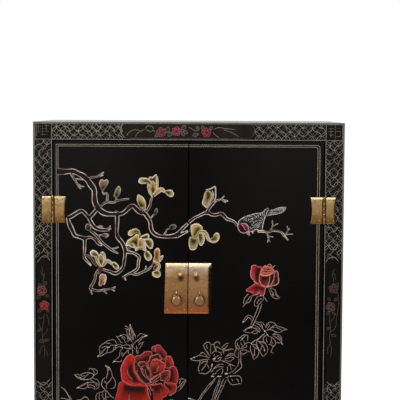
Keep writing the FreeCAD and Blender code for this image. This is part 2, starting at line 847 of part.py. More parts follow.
stand_width = s.case_width + 2 * s.stand_ledge
stand_depth = s.case_depth + 2 * s.stand_ledge
stand_left = -stand_width / 2
stand_front = front - s.stand_ledge
rail_underside = s.stand_height - s.stand_rail_thickness
leg_height = rail_underside
screw_x = inner_width / 2 - s.block_width / 2


def make_stand_rail(label, length, place, turn, screw_places=()):
    """A mitred rail of the stand's top frame, with a rounded outer edge."""
    body = new_body(label, place, turn)
    plan = new_sketch(body, "plan", "XY_Plane")
    width = s.stand_rail_width
    outline(plan, [(0, 0), (length, 0), (length - width, width), (width, width)])
    pad(body, "rail", plan, s.stand_rail_thickness)

    def outer_edges(edge):
        return runs_along(edge, "x") and lies_at(edge, "y", 0)

    dress_edges(body, "Fillet", "rounded_edge", "Radius", s.stand_rail_round, outer_edges)
    for number, (x, y) in enumerate(screw_places, 1):
        depth = s.stand_rail_thickness + 2 * over
        rod(body, f"screw_hole_{number}", s.stand_screw_shank_radius, depth, (x, y, -over), "z", cut=True)


def make_stand_rails():
    right, rear = -stand_left, stand_front + stand_depth
    make_stand_rail("stand_front_rail", stand_width, (stand_left, stand_front, rail_underside), 0)
    make_stand_rail("stand_rear_rail", stand_width, (right, rear, rail_underside), 180)
    across = right - screw_x
    frame_end = s.stand_ledge + s.frame_thickness
    right_places = [(frame_end + y, across) for y in stand_screw_ends()]
    left_places = [(stand_depth - along, y) for along, y in right_places]
    make_stand_rail("stand_right_rail", stand_depth, (right, stand_front, rail_underside), 90, right_places)
    make_stand_rail("stand_left_rail", stand_depth, (stand_left, rear, rail_underside), 270, left_places)


def make_stand_screws():
    places = [(x, frame_back + y, rail_underside) for x in (-screw_x, screw_x) for y in stand_screw_ends()]
    fasteners(
        "stand_screws",
        places,
        DOWNWARD,
        s.stand_screw_head_radius,
        s.stand_screw_head_height,
        s.stand_screw_shank_radius,
        s.stand_screw_shank_length,
    )


def make_fixing_blocks():
    """The blocks in the corners under the case's floor, each with a pilot hole for a screw."""
    height = s.rail_height - s.bottom_thickness
    depth = s.stand_screw_shank_length - s.stand_rail_thickness
    made = []
    for side in SIDES:
        x = mirrored_start(side, screw_x - s.block_width / 2, s.block_width)
        hole_x = mirrored_start(side, screw_x, 0)
        for number, y in enumerate(stand_screw_ends(), 1):
            name = f"{side}_fixing_block_{number}"
            blank = doc.addObject("Part::Box", f"{name}_blank")
            for prop, length in zip(("Length", "Width", "Height"), (s.block_width, s.block_length, height)):
                bind(blank, prop, length)
            bind_place(blank, (x, frame_back + y - s.block_length / 2, case_base))
            hole = doc.addObject("Part::Cylinder", f"{name}_hole")
            bind(hole, "Radius", s.stand_screw_shank_radius)
            bind(hole, "Height", depth + over)
            bind_place(hole, (hole_x, frame_back + y, case_base - over))
            whole = doc.addObject("Part::Cut", name)
            whole.Base = blank
            whole.Tool = hole
            made.append(whole)
    group("stand_fixing_blocks", made)


def make_leg(label, place, turn):
    """A square leg sawn to the same curve on both inner faces, ending in an inward hoof."""
    body = new_body(label, place, turn)
    block(body, "blank", (s.leg_width, s.leg_width, leg_height))
    tenon_base = leg_height - s.apron_tenon_drop - s.apron_tenon_height
    tenon_side = s.apron_setback + (s.apron_thickness - s.apron_tenon_thickness) / 2
    deep = s.apron_tenon_length + over
    inner = s.leg_width - s.apron_tenon_length
    size = (deep, s.apron_tenon_thickness, s.apron_tenon_height)
    block(body, "mortise_across", size, (inner, tenon_side, tenon_base), cut=True)
    size = (s.apron_tenon_thickness, deep, s.apron_tenon_height)
    block(body, "mortise_deep", size, (tenon_side, inner, tenon_base), cut=True)
    knee = leg_height - s.leg_knee_drop
    clear = s.leg_width + over

    def sawn_curve(name, role, reverse):
        sketch = new_sketch(body, f"{name}_sketch", role)
        outline(
            sketch,
            [
                (s.leg_sole_width, -over),
                (clear, -over),
                (clear, knee),
                (s.leg_width, knee, KNEE_BULGE_SHARE),
                (s.leg_ankle_width, s.leg_ankle_rise, HOOF_BULGE_SHARE),
                (s.leg_hoof_width, s.leg_hoof_rise, -SOLE_BULGE_SHARE),
                (s.leg_sole_width, 0),
            ],
        )
        pocket(body, name, sketch, s.leg_width, reverse)

    sawn_curve("curve_across", "XZ_Plane", False)
    sawn_curve("curve_deep", "YZ_Plane", True)

    def outer_arris(edge):
        return runs_along(edge, "z") and lies_at(edge, "x", 0) and lies_at(edge, "y", 0)

    dress_edges(body, "Fillet", "outer_arris", "Radius", s.leg_edge_radius, outer_arris)


def make_legs():
    low_x, high_x = stand_left + s.leg_inset, -stand_left - s.leg_inset
    low_y, high_y = stand_front + s.leg_inset, stand_front + stand_depth - s.leg_inset
    make_leg("front_left_leg", (low_x, low_y, 0), 0)
    make_leg("front_right_leg", (high_x, low_y, 0), 90)
    make_leg("rear_right_leg", (high_x, high_y, 0), 180)
    make_leg("rear_left_leg", (low_x, high_y, 0), 270)


def make_apron(label, length, place, turn):
    """An apron board with cusped brackets at its ends, a shallow drop in the middle and stub tenons."""
    body = new_body(label, place, turn)
    middle = length / 2
    flat = -s.apron_depth
    left_half = [
        (0, -s.apron_end_depth, -BRACKET_BULGE_SHARE),
        (s.apron_cusp_run, -s.apron_cusp_depth, -BRACKET_BULGE_SHARE),
        (s.apron_bracket_run, flat),
        (middle - s.apron_drop_run, flat, DROP_BULGE_SHARE),
    ]
    right_half = [
        (middle, -s.apron_drop_depth, DROP_BULGE_SHARE),
        (middle + s.apron_drop_run, flat),
        (length - s.apron_bracket_run, flat, -BRACKET_BULGE_SHARE),
        (length - s.apron_cusp_run, -s.apron_cusp_depth, -BRACKET_BULGE_SHARE),
        (length, -s.apron_end_depth),
    ]
    shape = new_sketch(body, "shape", "XZ_Plane")
    outline(shape, left_half + right_half + [(length, 0), (0, 0)])
    pad(body, "board", shape, s.apron_thickness, reverse=True)

    def lower_arris(edge):
        below_top = edge.BoundBox.ZMax < -value_of(s.apron_edge_radius)
        return lies_at(edge, "y", 0) and below_top and not runs_along(edge, "z")

    dress_edges(body, "Fillet", "soft_edge", "Radius", s.apron_edge_radius, lower_arris)
    tenon_y = (s.apron_thickness - s.apron_tenon_thickness) / 2
    tenon_z = -s.apron_tenon_drop - s.apron_tenon_height
    size = (length + 2 * s.apron_tenon_length, s.apron_tenon_thickness, s.apron_tenon_height)
    block(body, "tenons", size, (-s.apron_tenon_length, tenon_y, tenon_z))


def make_aprons():
    reach = s.leg_inset + s.leg_width
    inset = s.leg_inset + s.apron_setback
    right, rear = -stand_left, stand_front + stand_depth
    wide, deep = stand_width - 2 * reach, stand_depth - 2 * reach
    make_apron("front_apron", wide, (stand_left + reach, stand_front + inset, rail_underside), 0)
    make_apron("rear_apron", wide, (right - reach, rear - inset, rail_underside), 180)
    make_apron("right_apron", deep, (right - inset, stand_front + reach, rail_underside), 90)
    make_apron("left_apron", deep, (stand_left + inset, rear - reach, rail_underside), 270)


# Assembly


def make_all():
    for side in SIDES:
        make_stile(side)
        make_side(side)
    make_rail("top")
    make_rail("bottom")
    make_top_board()
    make_bottom_board()
    make_back_panel()
    make_back_screws()
    make_shelf("lower", s.lower_shelf_rise)
    make_shelf("upper", s.upper_shelf_rise)
    make_door_stops()
    make_hinges()
    make_nails("frame_hinge_nails", leaf_nails("left", "frame") + leaf_nails("right", "frame"))
    for side in SIDES:
        make_door(side)
        make_nails(f"{side}_door_hinge_nails", leaf_nails(side, "door"))
        make_lock_plate(side)
        plate_x = mirrored_start(side, plate_gap, s.plate_width)
        places = [(plate_x + x, plate_front, plate_base + z) for x, z in plate_nail_places()]
        make_nails(f"{side}_lock_plate_nails", places)
        make_lug(side)
        make_eye(side)
        make_drop_pull(side)
    make_stand_rails()
    make_stand_screws()
    make_fixing_blocks()
    make_legs()
    make_aprons()


def check_and_write():
    doc.recompute()
    failed = [o.Name for o in doc.Objects if "Invalid" in o.State or "Error" in o.State]
    if failed:
        raise RuntimeError(f"these features failed: {failed}")
    for part in sub_parts:
        if part.Shape.isNull() or not part.Shape.isValid():
            raise RuntimeError(f"{part.Label} has no valid shape")
    os.makedirs("parts", exist_ok=True)
    for part in sub_parts:
        part.Shape.exportStep(os.path.join("parts", f"{part.Label}.step"))
    print(f"{len(sub_parts)} sub-parts written")


make_all()
check_and_write()
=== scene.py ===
import math
import random

import bpy
from mathutils import Matrix, Vector, noise


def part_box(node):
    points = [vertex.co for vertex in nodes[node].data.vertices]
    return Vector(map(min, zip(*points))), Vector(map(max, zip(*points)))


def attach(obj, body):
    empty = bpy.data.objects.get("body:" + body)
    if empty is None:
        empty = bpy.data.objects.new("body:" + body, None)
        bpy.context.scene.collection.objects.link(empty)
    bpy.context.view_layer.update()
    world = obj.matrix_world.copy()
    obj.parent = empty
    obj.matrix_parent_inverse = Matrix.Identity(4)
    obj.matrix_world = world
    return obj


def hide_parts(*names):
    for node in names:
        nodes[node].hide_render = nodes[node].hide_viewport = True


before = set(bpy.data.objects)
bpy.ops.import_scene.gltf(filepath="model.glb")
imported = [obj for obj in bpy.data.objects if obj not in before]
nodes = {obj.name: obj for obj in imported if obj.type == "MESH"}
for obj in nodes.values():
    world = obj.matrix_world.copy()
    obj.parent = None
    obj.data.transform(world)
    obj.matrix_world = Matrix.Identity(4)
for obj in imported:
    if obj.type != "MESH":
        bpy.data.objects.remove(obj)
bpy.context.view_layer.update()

chanceSeed = 41
dice = random.Random(chanceSeed)
noise.seed_set(chanceSeed)  # so that the net sways alike each run

# The camera, as found from the corners of the face frame
view = {
    "focalPixels": 1255.0,
    "imagePixels": 400.0,
    "sensorMm": 36.0,
    "eye": Vector((0.0280, -3.2564, 1.2600)),
    "pitchDegrees": 4.2845,
    "rollDegrees": 0.2985,
}
pitch, roll = math.radians(view["pitchDegrees"]), math.radians(view["rollDegrees"])
levelUp = Vector((0, math.sin(pitch), math.cos(pitch)))
lookAlong = Vector((0, math.cos(pitch), -math.sin(pitch)))
lookRight = Vector((1, 0, 0)) * math.cos(roll) + levelUp * math.sin(roll)
lookUp = levelUp * math.cos(roll) - Vector((1, 0, 0)) * math.sin(roll)

photoCamera = bpy.data.cameras.new("photoCamera")
photoCamera.sensor_width = view["sensorMm"]
photoCamera.lens = view["focalPixels"] * view["sensorMm"] / view["imagePixels"]
cameraObject = bpy.data.objects.new("photoCamera", photoCamera)
bpy.context.scene.collection.objects.link(cameraObject)
turn = Matrix((lookRight, lookUp, -lookAlong)).transposed().to_4x4()
cameraObject.matrix_world = Matrix.Translation(view["eye"]) @ turn
bpy.context.scene.camera = cameraObject
print("camera set")

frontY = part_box("left_stile")[0].y  # the face of the frame and the doors
dot = 0.002435  # one photo pixel on that face, in metres


# The painting is kept in photo pixels: "x,y x,y" is a line, and a bar starts the next line
def spotsOf(text):
    return [tuple(float(number) for number in spot.split(",")) for spot in text.split()]


def strokesOf(text):
    return [spotsOf(stroke) for stroke in text.split("|")]


def petalsOf(text):  # "words and a number | points | points", and a semicolon starts the next petal
    found = []
    for petal in text.split(";"):
        words, outline, heart = petal.split("|")
        *words, number = words.split()
        found.append((spotsOf(outline), spotsOf(heart), " ".join(words), float(number)))
    return found


def onFace(points):  # photo pixels to (x, z) on the front face
    found = []
    middle = view["imagePixels"] / 2
    for px, py in points:
        ray = lookAlong + lookRight * ((px - middle) / view["focalPixels"])
        ray = ray - lookUp * ((py - middle) / view["focalPixels"])
        reach = (frontY - view["eye"].y) / ray.y
        spot = view["eye"] + ray * reach
        found.append((spot.x, spot.z))
    return found


def ink(red, green, blue):  # a colour as it looks on screen, to linear light
    found = []
    for value in (red, green, blue):
        share = value / 255
        found.append(share / 12.92 if share <= 0.04045 else ((share + 0.055) / 1.055) ** 2.4)
    return tuple(found)


def inksOf(text):  # "r,g,b r,g,b" to inks: for a petal, its rim, body and heart
    return tuple(ink(*colour) for colour in spotsOf(text))


def mixInk(first, second, share):
    return tuple(a + (b - a) * share for a, b in zip(first, second))


def toned(colours, tone, rimTone):  # a petal's rim weakened by one tone, its body and heart by another
    tones = (rimTone, tone, tone)
    return tuple(tuple(c * t for c, t in zip(colour, part)) for colour, part in zip(colours, tones))


def swayAt(spot, scale, seed):  # smooth chance over the face
    return noise.noise(Vector((spot[0] * scale, spot[1] * scale, seed)))


# Ornament is gathered as thin raised paint: points on a face, lifted a little off it
def newOrnament(side="front", shift=(0.0, 0.0), flip=False):
    return {"points": [], "faces": [], "paint": [], "side": side, "shift": shift, "flip": flip}


def putPoint(art, across, up, lift, colour):
    across = (-across if art["flip"] else across) + art["shift"][0]
    up = up + art["shift"][1]
    if art["side"] == "front":
        spot = (across, frontY - lift, up)
    elif art["side"] == "left":
        spot = (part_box("left_side")[0].x - lift, -across, up)
    else:
        spot = (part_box("right_side")[1].x + lift, across, up)
    art["points"].append(spot)
    art["paint"].append((*colour, 1.0))
    return len(art["points"]) - 1


def smoothPath(points, closed=False, step=0.0028):
    if len(points) < 3 and not closed:
        points = [points[0], tuple((a + b) / 2 for a, b in zip(points[0], points[-1])), points[-1]]
    count = len(points)
    found = []
    spans = count if closed else count - 1
    for i in range(spans):
        p1, p2 = points[i], points[(i + 1) % count]
        p0 = points[(i - 1) % count] if closed or i > 0 else p1
        p3 = points[(i + 2) % count] if closed or i + 2 < count else p2
        pieces = max(2, int(math.dist(p1[:2], p2[:2]) / step))
        for k in range(pieces):
            t = k / pieces
            found.append(tuple(
                0.5 * (2 * b + (c - a) * t + (2 * a - 5 * b + 4 * c - d) * t * t
                       + (3 * b - a - 3 * c + d) * t ** 3)
                for a, b, c, d in zip(p0, p1, p2, p3)))
    if not closed:
        found.append(tuple(points[-1]))
    return found


def straightPath(corners, step=0.012):  # points along straight stretches, without the last corner
    found = []
    for a, b in zip(corners, corners[1:]):
        pieces = max(1, int(math.dist(a, b) / step))
        found += [tuple(p + (q - p) * k / pieces for p, q in zip(a, b)) for k in range(pieces)]
    return found


def crossways(path, i, closed=False):  # the unit direction across a path
    count = len(path)
    before = path[(i - 1) % count] if closed or i > 0 else path[0]
    after = path[(i + 1) % count] if closed or i + 1 < count else path[-1]
    dx, dz = after[0] - before[0], after[1] - before[1]
    length = math.hypot(dx, dz) or 1.0
    return -dz / length, dx / length


def layStrip(art, path, rows, closed=False):  # rows: at each path point, (offset, lift, colour) across it
    first = None
    last = None
    for i, spot in enumerate(path):
        nx, nz = crossways(path, i, closed)
        line = [putPoint(art, spot[0] + nx * o, spot[1] + nz * o, l, c) for o, l, c in rows[i]]
        if last:
            for k in range(len(line) - 1):
                art["faces"].append((last[k], last[k + 1], line[k + 1], line[k]))
        first = first or line
        last = line
    if closed:
        for k in range(len(last) - 1):
            art["faces"].append((last[k], last[k + 1], first[k + 1], first[k]))


foot = 0.00002  # how far the edge of the paint stands off the face
strokeLook = {"lift": 0.00022, "taper": (0.5, 0.3), "drift": 0.16, "worn": (0.01, 0.01, 0.01)}


def addStroke(art, points, width, colour, lift=strokeLook["lift"], other=None, taper=strokeLook["taper"],
              drift=strokeLook["drift"], soft=True, closed=False):
    path = smoothPath(points, closed) if soft else list(points)
    rows = []
    seed = dice.random() * 50
    for i, spot in enumerate(path):
        share = i / max(1, len(path) - 1)
        thin = 1.0
        if not closed and soft:
            thin = min(1, taper[0] + share * 5, taper[1] + (1 - share) * 5)
        sway = swayAt(spot, 90, seed)
        half = width / 2 * thin * (1 + drift * sway)
        faded = min(0.9, max(0, 0.12 + 0.8 * sway)) * (1 if other else 0.5)
        shade = mixInk(colour, other or strokeLook["worn"], faded)
        rows.append([(-half, foot, shade), (-half * 0.5, lift, shade),
                     (half * 0.5, lift, shade), (half, foot, shade)])
    layStrip(art, path, rows, closed)


def addStrokes(art, strokes, width, colour, other=None, lift=strokeLook["lift"]):  # in photo pixels
    for stroke in strokes:
        addStroke(art, onFace(stroke), width * dot, colour, lift, other)


boughLook = {
    "rimLift": 0.00016, "edgeLift": 0.00017, "backLift": 0.00024, "ridgeLift": 0.0003, "seam": 0.000001,
}


def addBough(art, limb, look):  # a limb of (x, y, half width) in photo pixels, with two light edges
    places = onFace([spot[:2] for spot in limb])
    path = smoothPath([(*place, spot[2] * dot) for place, spot in zip(places, limb)])
    rim = look["rimWidth"] * dot
    lift, fill = boughLook["rimLift"], look["fill"]
    rows, body = [], []
    seed = dice.random() * 50
    for spot in path:
        sway = swayAt(spot, 70, seed)
        half = max(0.0002, spot[2] * (1 + 0.2 * sway))
        shades = []
        for side in (0, 9):
            glint = swayAt(spot, 55, seed + side + 3)
            shades.append(mixInk(look["rim"], look["dimRim"], min(1, max(0, 0.45 + 1.1 * glint))))
        edge = half + rim * (0.5 + 0.12 * sway)
        half = max(0.0001, half - rim * 0.5)
        rows.append([(-edge, foot, shades[0]), (-edge + rim * 0.3, lift, shades[0]), (0, lift, shades[0]),
                     (boughLook["seam"], lift, shades[1]), (edge - rim * 0.3, lift, shades[1]),
                     (edge, foot, shades[1])])
        body.append([(-half, boughLook["edgeLift"], fill), (-half * 0.8, boughLook["backLift"], fill),
                     (0, boughLook["ridgeLift"], look["heart"]),
                     (half * 0.8, boughLook["backLift"], fill), (half, boughLook["edgeLift"], fill)])
    layStrip(art, [s[:2] for s in path], rows)
    layStrip(art, [s[:2] for s in path[:-1]], body[:-1])


def nearestOn(line, spot):  # the nearest point of a drawn line
    best = line[0]
    for a, b in zip(line, line[1:]):
        dx, dz = b[0] - a[0], b[1] - a[1]
        share = ((spot[0] - a[0]) * dx + (spot[1] - a[1]) * dz) / (dx * dx + dz * dz)
        share = min(1, max(0, share))
        near = (a[0] + dx * share, a[1] + dz * share)
        if math.dist(near, spot) < math.dist(best, spot):
            best = near
    return best


patchLook = {"dome": 0.00008, "veinPixels": 0.38, "veinLift": 0.00004}


def addPatch(art, outline, heartAt, colours, lift, rim, veins=0, deep=0.3, evenRim=0.0):
    # A petal: a light rim, a body and a darker heart, which is a spot or a line; the rim dims near the heart
    edge = smoothPath(onFace(outline), closed=True, step=0.0022)
    heartLine = onFace(heartAt)
    hearts = [nearestOn(heartLine, spot) for spot in edge]
    rimInk, bodyInk, heartInk = colours
    rims, dome = rim * dot, patchLook["dome"]
    seed = dice.random() * 50
    farthest = max(math.dist(spot, heart) for spot, heart in zip(edge, hearts))
    columns, middles, tips = [], {}, []
    for spot, heart in zip(edge, hearts):
        far = max(0.0001, math.dist(spot, heart))
        sway = swayAt(spot, 130, seed)
        lit = min(1, max(evenRim, (far / farthest - 0.25) / 0.45 + 0.25 * sway))
        edgeInk = mixInk(bodyInk, rimInk, lit)
        body = mixInk(bodyInk, rimInk, max(0, 0.03 + 0.22 * sway))
        halfway = mixInk(body, heartInk, 0.55)
        steps = [  # share of the way to the heart, colour, lift
            (0, edgeInk, foot), (0, edgeInk, lift), (min(0.5, rims / far), edgeInk, lift + dome * 0.4),
            (min(0.6, rims * 1.7 / far), body, lift + dome * 0.5), (0.45 - 0.25 * deep, body, lift + dome),
            (0.72 - 0.34 * deep, halfway, lift + dome * 0.9),
            (0.92 - 0.3 * deep, heartInk, lift + dome * 0.5),
        ]
        column = []
        last = 0
        for share, colour, height in steps:
            last = max(last, share)
            x = spot[0] + (heart[0] - spot[0]) * last
            z = spot[1] + (heart[1] - spot[1]) * last
            column.append(putPoint(art, x, z, height, colour))
        columns.append(column)
        place = (round(heart[0], 5), round(heart[1], 5))
        if place not in middles:
            middles[place] = putPoint(art, heart[0], heart[1], lift + dome * 0.5, heartInk)
        tips.append(middles[place])
    for k, column in enumerate(columns):
        n = (k + 1) % len(columns)
        beside = columns[n]
        for r in range(len(column) - 1):
            art["faces"].append((column[r], beside[r], beside[r + 1], column[r + 1]))
        if tips[k] == tips[n]:
            art["faces"].append((column[-1], beside[-1], tips[k]))
        else:
            art["faces"].append((column[-1], beside[-1], tips[n], tips[k]))
    for v in range(veins):
        k = int((v + 0.5) / veins * len(edge)) % len(edge)
        near = tuple(h + (s - h) * 0.28 for s, h in zip(edge[k], hearts[k]))
        away = tuple(h + (s - h) * 0.86 for s, h in zip(edge[k], hearts[k]))
        veinInk = mixInk(bodyInk, heartInk, 0.7) if v % 2 else mixInk(bodyInk, rimInk, 0.5)
        veinLift = lift + dome + patchLook["veinLift"]
        addStroke(art, [near, away], patchLook["veinPixels"] * dot, veinInk, veinLift)


bladeLifts = {"rim": 0.00003, "body": 0.00005, "ridge": 0.00008}  # above the edge of the petal


def addBlade(art, points, width, colours, lift, swell, rim):  # a narrow petal along a line
    path = smoothPath(onFace(points), step=0.0018)
    rimInk, bodyInk, baseInk = colours
    rows = []
    for i in range(len(path)):
        t = i / (len(path) - 1)
        at = t * (len(swell) - 1)
        k = min(len(swell) - 2, int(at))
        half = width * dot / 2 * (swell[k] + (swell[k + 1] - swell[k]) * (at - k))
        inside = max(half * 0.1, half - rim * dot)
        body = mixInk(baseInk, bodyInk, min(1, t * 1.6))
        if t > 0.94 or half < rim * dot * 1.2:
            body = rimInk
        right = [(inside * 0.85, lift + bladeLifts["body"], body), (inside, lift + bladeLifts["rim"], rimInk),
                 (half * 0.96, lift, rimInk), (half, foot, rimInk)]
        left = [(-offset, height, colour) for offset, height, colour in right[::-1]]
        rows.append(left + [(0, lift + bladeLifts["ridge"], mixInk(body, baseInk, 0.25))] + right)
    layStrip(art, path, rows)


def addRect(art, x0, z0, x1, z1, width, colour, lift=0.0002):
    corners = [(x1, z1), (x0, z1), (x0, z0), (x1, z0), (x1, z1)]
    addStroke(art, straightPath(corners), width, colour, lift, soft=False, closed=True)


def finishOrnament(art, name, body, finish):
    mesh = bpy.data.meshes.new(name)
    faces = art["faces"]
    turned = (art["side"] == "front") == art["flip"]
    if art["side"] == "left":
        turned = not turned
    mesh.from_pydata(art["points"], [], [f[::-1] if turned else f for f in faces])
    layer = mesh.color_attributes.new("paint", "FLOAT_COLOR", "POINT")
    layer.data.foreach_set("color", [v for c in art["paint"] for v in c])
    mesh.polygons.foreach_set("use_smooth", [True] * len(faces))
    mesh.update()
    piece = bpy.data.objects.new(name, mesh)
    bpy.context.scene.collection.objects.link(piece)
    mesh.materials.append(finish)
    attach(piece, body)


# Materials
def newFinish(name):
    finish = bpy.data.materials.new(name)
    finish.use_nodes = True
    tree = finish.node_tree
    shader = tree.nodes["Principled BSDF"]
    return finish, tree, shader


def addNode(tree, kind, inputs=None, **settings):
    node = tree.nodes.new(kind)
    for key, value in settings.items():
        setattr(node, key, value)
    for key, value in (inputs or {}).items():
        if isinstance(value, bpy.types.NodeSocket):
            tree.links.new(value, node.inputs[key])
        else:
            node.inputs[key].default_value = value
    return node


def ramp(tree, source, stops):
    node = addNode(tree, "ShaderNodeValToRGB", {"Fac": source})
    bar = node.color_ramp
    while len(bar.elements) < len(stops):
        bar.elements.new(0.5)
    for element, (place, colour) in zip(bar.elements, stops):
        element.position = place
        element.color = (*colour, 1)
    return node.outputs["Color"]


def greys(tree, source, *stops):  # a ramp of (place, grey)
    return ramp(tree, source, [(place, (value, value, value)) for place, value in stops])


def objectPlace(tree):
    return addNode(tree, "ShaderNodeTexCoord").outputs["Object"]


def axisOf(tree, where, axis):
    return addNode(tree, "ShaderNodeSeparateXYZ", {"Vector": where}).outputs[axis]


def maths(tree, way, *values):
    return addNode(tree, "ShaderNodeMath", dict(enumerate(values)), operation=way).outputs[0]


def mapped(tree, value, low, high, first=0.0, last=1.0):  # low to high becomes first to last
    ends = {"Value": value, "From Min": low, "From Max": high, "To Min": first, "To Max": last}
    return addNode(tree, "ShaderNodeMapRange", ends).outputs["Result"]


def noiseOf(tree, scale, detail=3.0, rough=0.5, stretch=(1, 1, 1)):
    spread = addNode(tree, "ShaderNodeMapping", {"Vector": objectPlace(tree), "Scale": stretch})
    inputs = {"Vector": spread.outputs["Vector"], "Scale": scale, "Detail": detail, "Roughness": rough}
    return addNode(tree, "ShaderNodeTexNoise", inputs).outputs["Fac"]


def bumpOf(tree, height, strength, distance, under=None):
    node = addNode(tree, "ShaderNodeBump", {"Height": height, "Strength": strength, "Distance": distance})
    if under:
        tree.links.new(under, node.inputs["Normal"])
    return node.outputs["Normal"]


def mixColour(tree, share, first, second, way="MIX"):
    node = addNode(tree, "ShaderNodeMix", {"Factor": share}, data_type="RGBA", blend_type=way)
    for socket, value in ((node.inputs[6], first), (node.inputs[7], second)):
        if isinstance(value, bpy.types.NodeSocket):
            tree.links.new(value, socket)
        else:
            socket.default_value = (*value, 1)
    return node.outputs[2]


def wire(tree, shader, base, rough, normal):
    tree.links.new(base, shader.inputs["Base Color"])
    tree.links.new(rough, shader.inputs["Roughness"])
    tree.links.new(normal, shader.inputs["Normal"])


lacquerLook = {
    "dark": ink(3, 2, 2), "warm": ink(10, 7, 6), "dust": ink(30, 27, 24), "shine": 0.06,
    "haze": ink(24, 23, 21), "hazeHeights": (0.75, 1.2), "hazeShare": 0.8, "hazeSides": (0.03, 0.2),
    "hazeMiddle": 0.3,
}


def lacquerFinish(name, look):
    finish, tree, shader = newFinish(name)
    base = ramp(tree, noiseOf(tree, 5, 4), [(0.3, look["dark"]), (0.75, look["warm"])])
    specks = greys(tree, noiseOf(tree, 900, 2), (0.68, 0), (0.78, 0.35))
    rubbed = greys(tree, noiseOf(tree, 34, 6, 0.65, (1, 1, 0.35)), (0.6, 0), (0.8, 0.4))
    base = mixColour(tree, specks, base, look["dust"])
    base = mixColour(tree, rubbed, base, look["warm"])
    where = objectPlace(tree)
    faded = mapped(tree, axisOf(tree, where, "Z"), *look["hazeHeights"], last=look["hazeShare"])
    across = maths(tree, "ABSOLUTE", axisOf(tree, where, "X"))
    sideways = mapped(tree, across, *look["hazeSides"], first=look["hazeMiddle"])
    faded = maths(tree, "MULTIPLY", faded, sideways)
    base = mixColour(tree, faded, base, look["haze"])  # a little grey higher up, less so at the middle
    rough = greys(tree, noiseOf(tree, 60, 8, 0.7, (1, 1, 14)), (0.35, 0.2), (0.7, 0.36))
    peel = bumpOf(tree, noiseOf(tree, 60, 2), 0.012, 0.002)
    fine = bumpOf(tree, noiseOf(tree, 1200, 2), 0.02, 0.0003, peel)
    wire(tree, shader, base, rough, fine)
    shader.inputs["Specular IOR Level"].default_value = look["shine"]
    return finish


blackLacquer = lacquerFinish("blackLacquer", lacquerLook)
innerLook = {
    **lacquerLook, "dark": ink(46, 18, 13), "warm": ink(66, 27, 19), "dust": ink(92, 60, 48),
    "shine": 0.2, "haze": ink(62, 26, 19),
}
innerLacquer = lacquerFinish("innerLacquer", innerLook)
topLook = {**lacquerLook, "shine": 0.6}
topLacquer = lacquerFinish("topLacquer", topLook)

paintLook = {"rough": (0.34, 0.55), "shine": 0.12}


def paintFinish(name, look):  # raised paint and gilt lines, coloured stroke by stroke
    finish, tree, shader = newFinish(name)
    colour = addNode(tree, "ShaderNodeAttribute", attribute_name="paint").outputs["Color"]
    worn = greys(tree, noiseOf(tree, 260, 5, 0.65), (0.3, 0.62), (0.62, 1.0))
    cloud = greys(tree, noiseOf(tree, 16, 3), (0.3, 0.82), (0.7, 1.0))
    colour = mixColour(tree, 1.0, colour, worn, "MULTIPLY")
    colour = mixColour(tree, 1.0, colour, cloud, "MULTIPLY")
    rough = greys(tree, noiseOf(tree, 500, 3), (0.3, look["rough"][0]), (0.7, look["rough"][1]))
    wire(tree, shader, colour, rough, bumpOf(tree, noiseOf(tree, 700, 3), 0.15, 0.0003))
    shader.inputs["Specular IOR Level"].default_value = look["shine"]
    return finish


paint = paintFinish("raisedPaint", paintLook)

brassLook = {
    "pale": ink(255, 226, 186), "gold": ink(194, 146, 102), "brown": ink(164, 116, 78),
    "red": ink(184, 104, 64), "dirt": ink(52, 32, 18), "rough": (0.22, 0.38),
    "stainBlur": 0.004, "edgeDirt": 0.92, "edgeTop": (0.012, 0.003),
}
hingeBrassLook = {
    **brassLook, "pale": ink(255, 222, 170), "gold": ink(214, 172, 112), "brown": ink(162, 120, 70),
    "red": ink(124, 80, 42), "dirt": ink(60, 40, 18), "rough": (0.22, 0.4),
}


def brassFinish(name, look, top, bottom, paintedShadows=(), edge=None):  # pale at the top height, red at the bottom: partly tarnish, partly a painted highlight at the top and painted shade lower down
    finish, tree, shader = newFinish(name)
    where = objectPlace(tree)
    height = axisOf(tree, where, "Z")
    blot = noiseOf(tree, 55, 5, 0.6)
    uneven = maths(tree, "MULTIPLY_ADD", blot, 0.5, -0.25)
    share = maths(tree, "ADD", mapped(tree, height, bottom, top), uneven)
    base = ramp(tree, share, [(0.0, look["red"]), (0.22, look["brown"]), (0.55, look["gold"]),
                              (0.74, look["gold"]), (0.95, look["pale"])])
    # Random specks of dirt; the same dark colour also paints shade and shadows below
    spots = greys(tree, noiseOf(tree, 420, 4, 0.65), (0.6, 0), (0.76, 0.1))
    base = mixColour(tree, spots, base, look["dirt"])
    streaks = greys(tree, noiseOf(tree, 120, 6, 0.7, (0.25, 1, 2.2)), (0.56, 0), (0.8, 0.5))
    base = mixColour(tree, streaks, base, look["brown"])
    for place, steps in paintedShadows:  # patches of painted shadow, darker by steps of (distance, strength)
        away = addNode(tree, "ShaderNodeVectorMath", {0: where, 1: place}, operation="DISTANCE")
        away = maths(tree, "MULTIPLY_ADD", blot, look["stainBlur"], away.outputs["Value"])
        base = mixColour(tree, greys(tree, away, *steps), base, look["dirt"])
    if edge:  # painted shade on one edge, from none to full across X, fading out below the top
        shaded = mapped(tree, axisOf(tree, where, "X"), *edge, last=look["edgeDirt"])
        far, near = look["edgeTop"]
        below = mapped(tree, height, top - far, top - near, 1.0, 0.0)
        base = mixColour(tree, maths(tree, "MULTIPLY", shaded, below), base, look["dirt"])
    shader.inputs["Metallic"].default_value = 1.0
    rough = greys(tree, noiseOf(tree, 150, 5, 0.6), (0.3, look["rough"][0]), (0.75, look["rough"][1]))
    beaten = bumpOf(tree, noiseOf(tree, 60, 2), 0.2, 0.002)
    marks = bumpOf(tree, noiseOf(tree, 500, 4, 0.6, (0.3, 1, 1.6)), 0.05, 0.0004, beaten)
    wire(tree, shader, base, rough, marks)
    return finish


woodLook = {"light": ink(150, 112, 76), "deep": ink(92, 62, 40), "shine": 0.25}


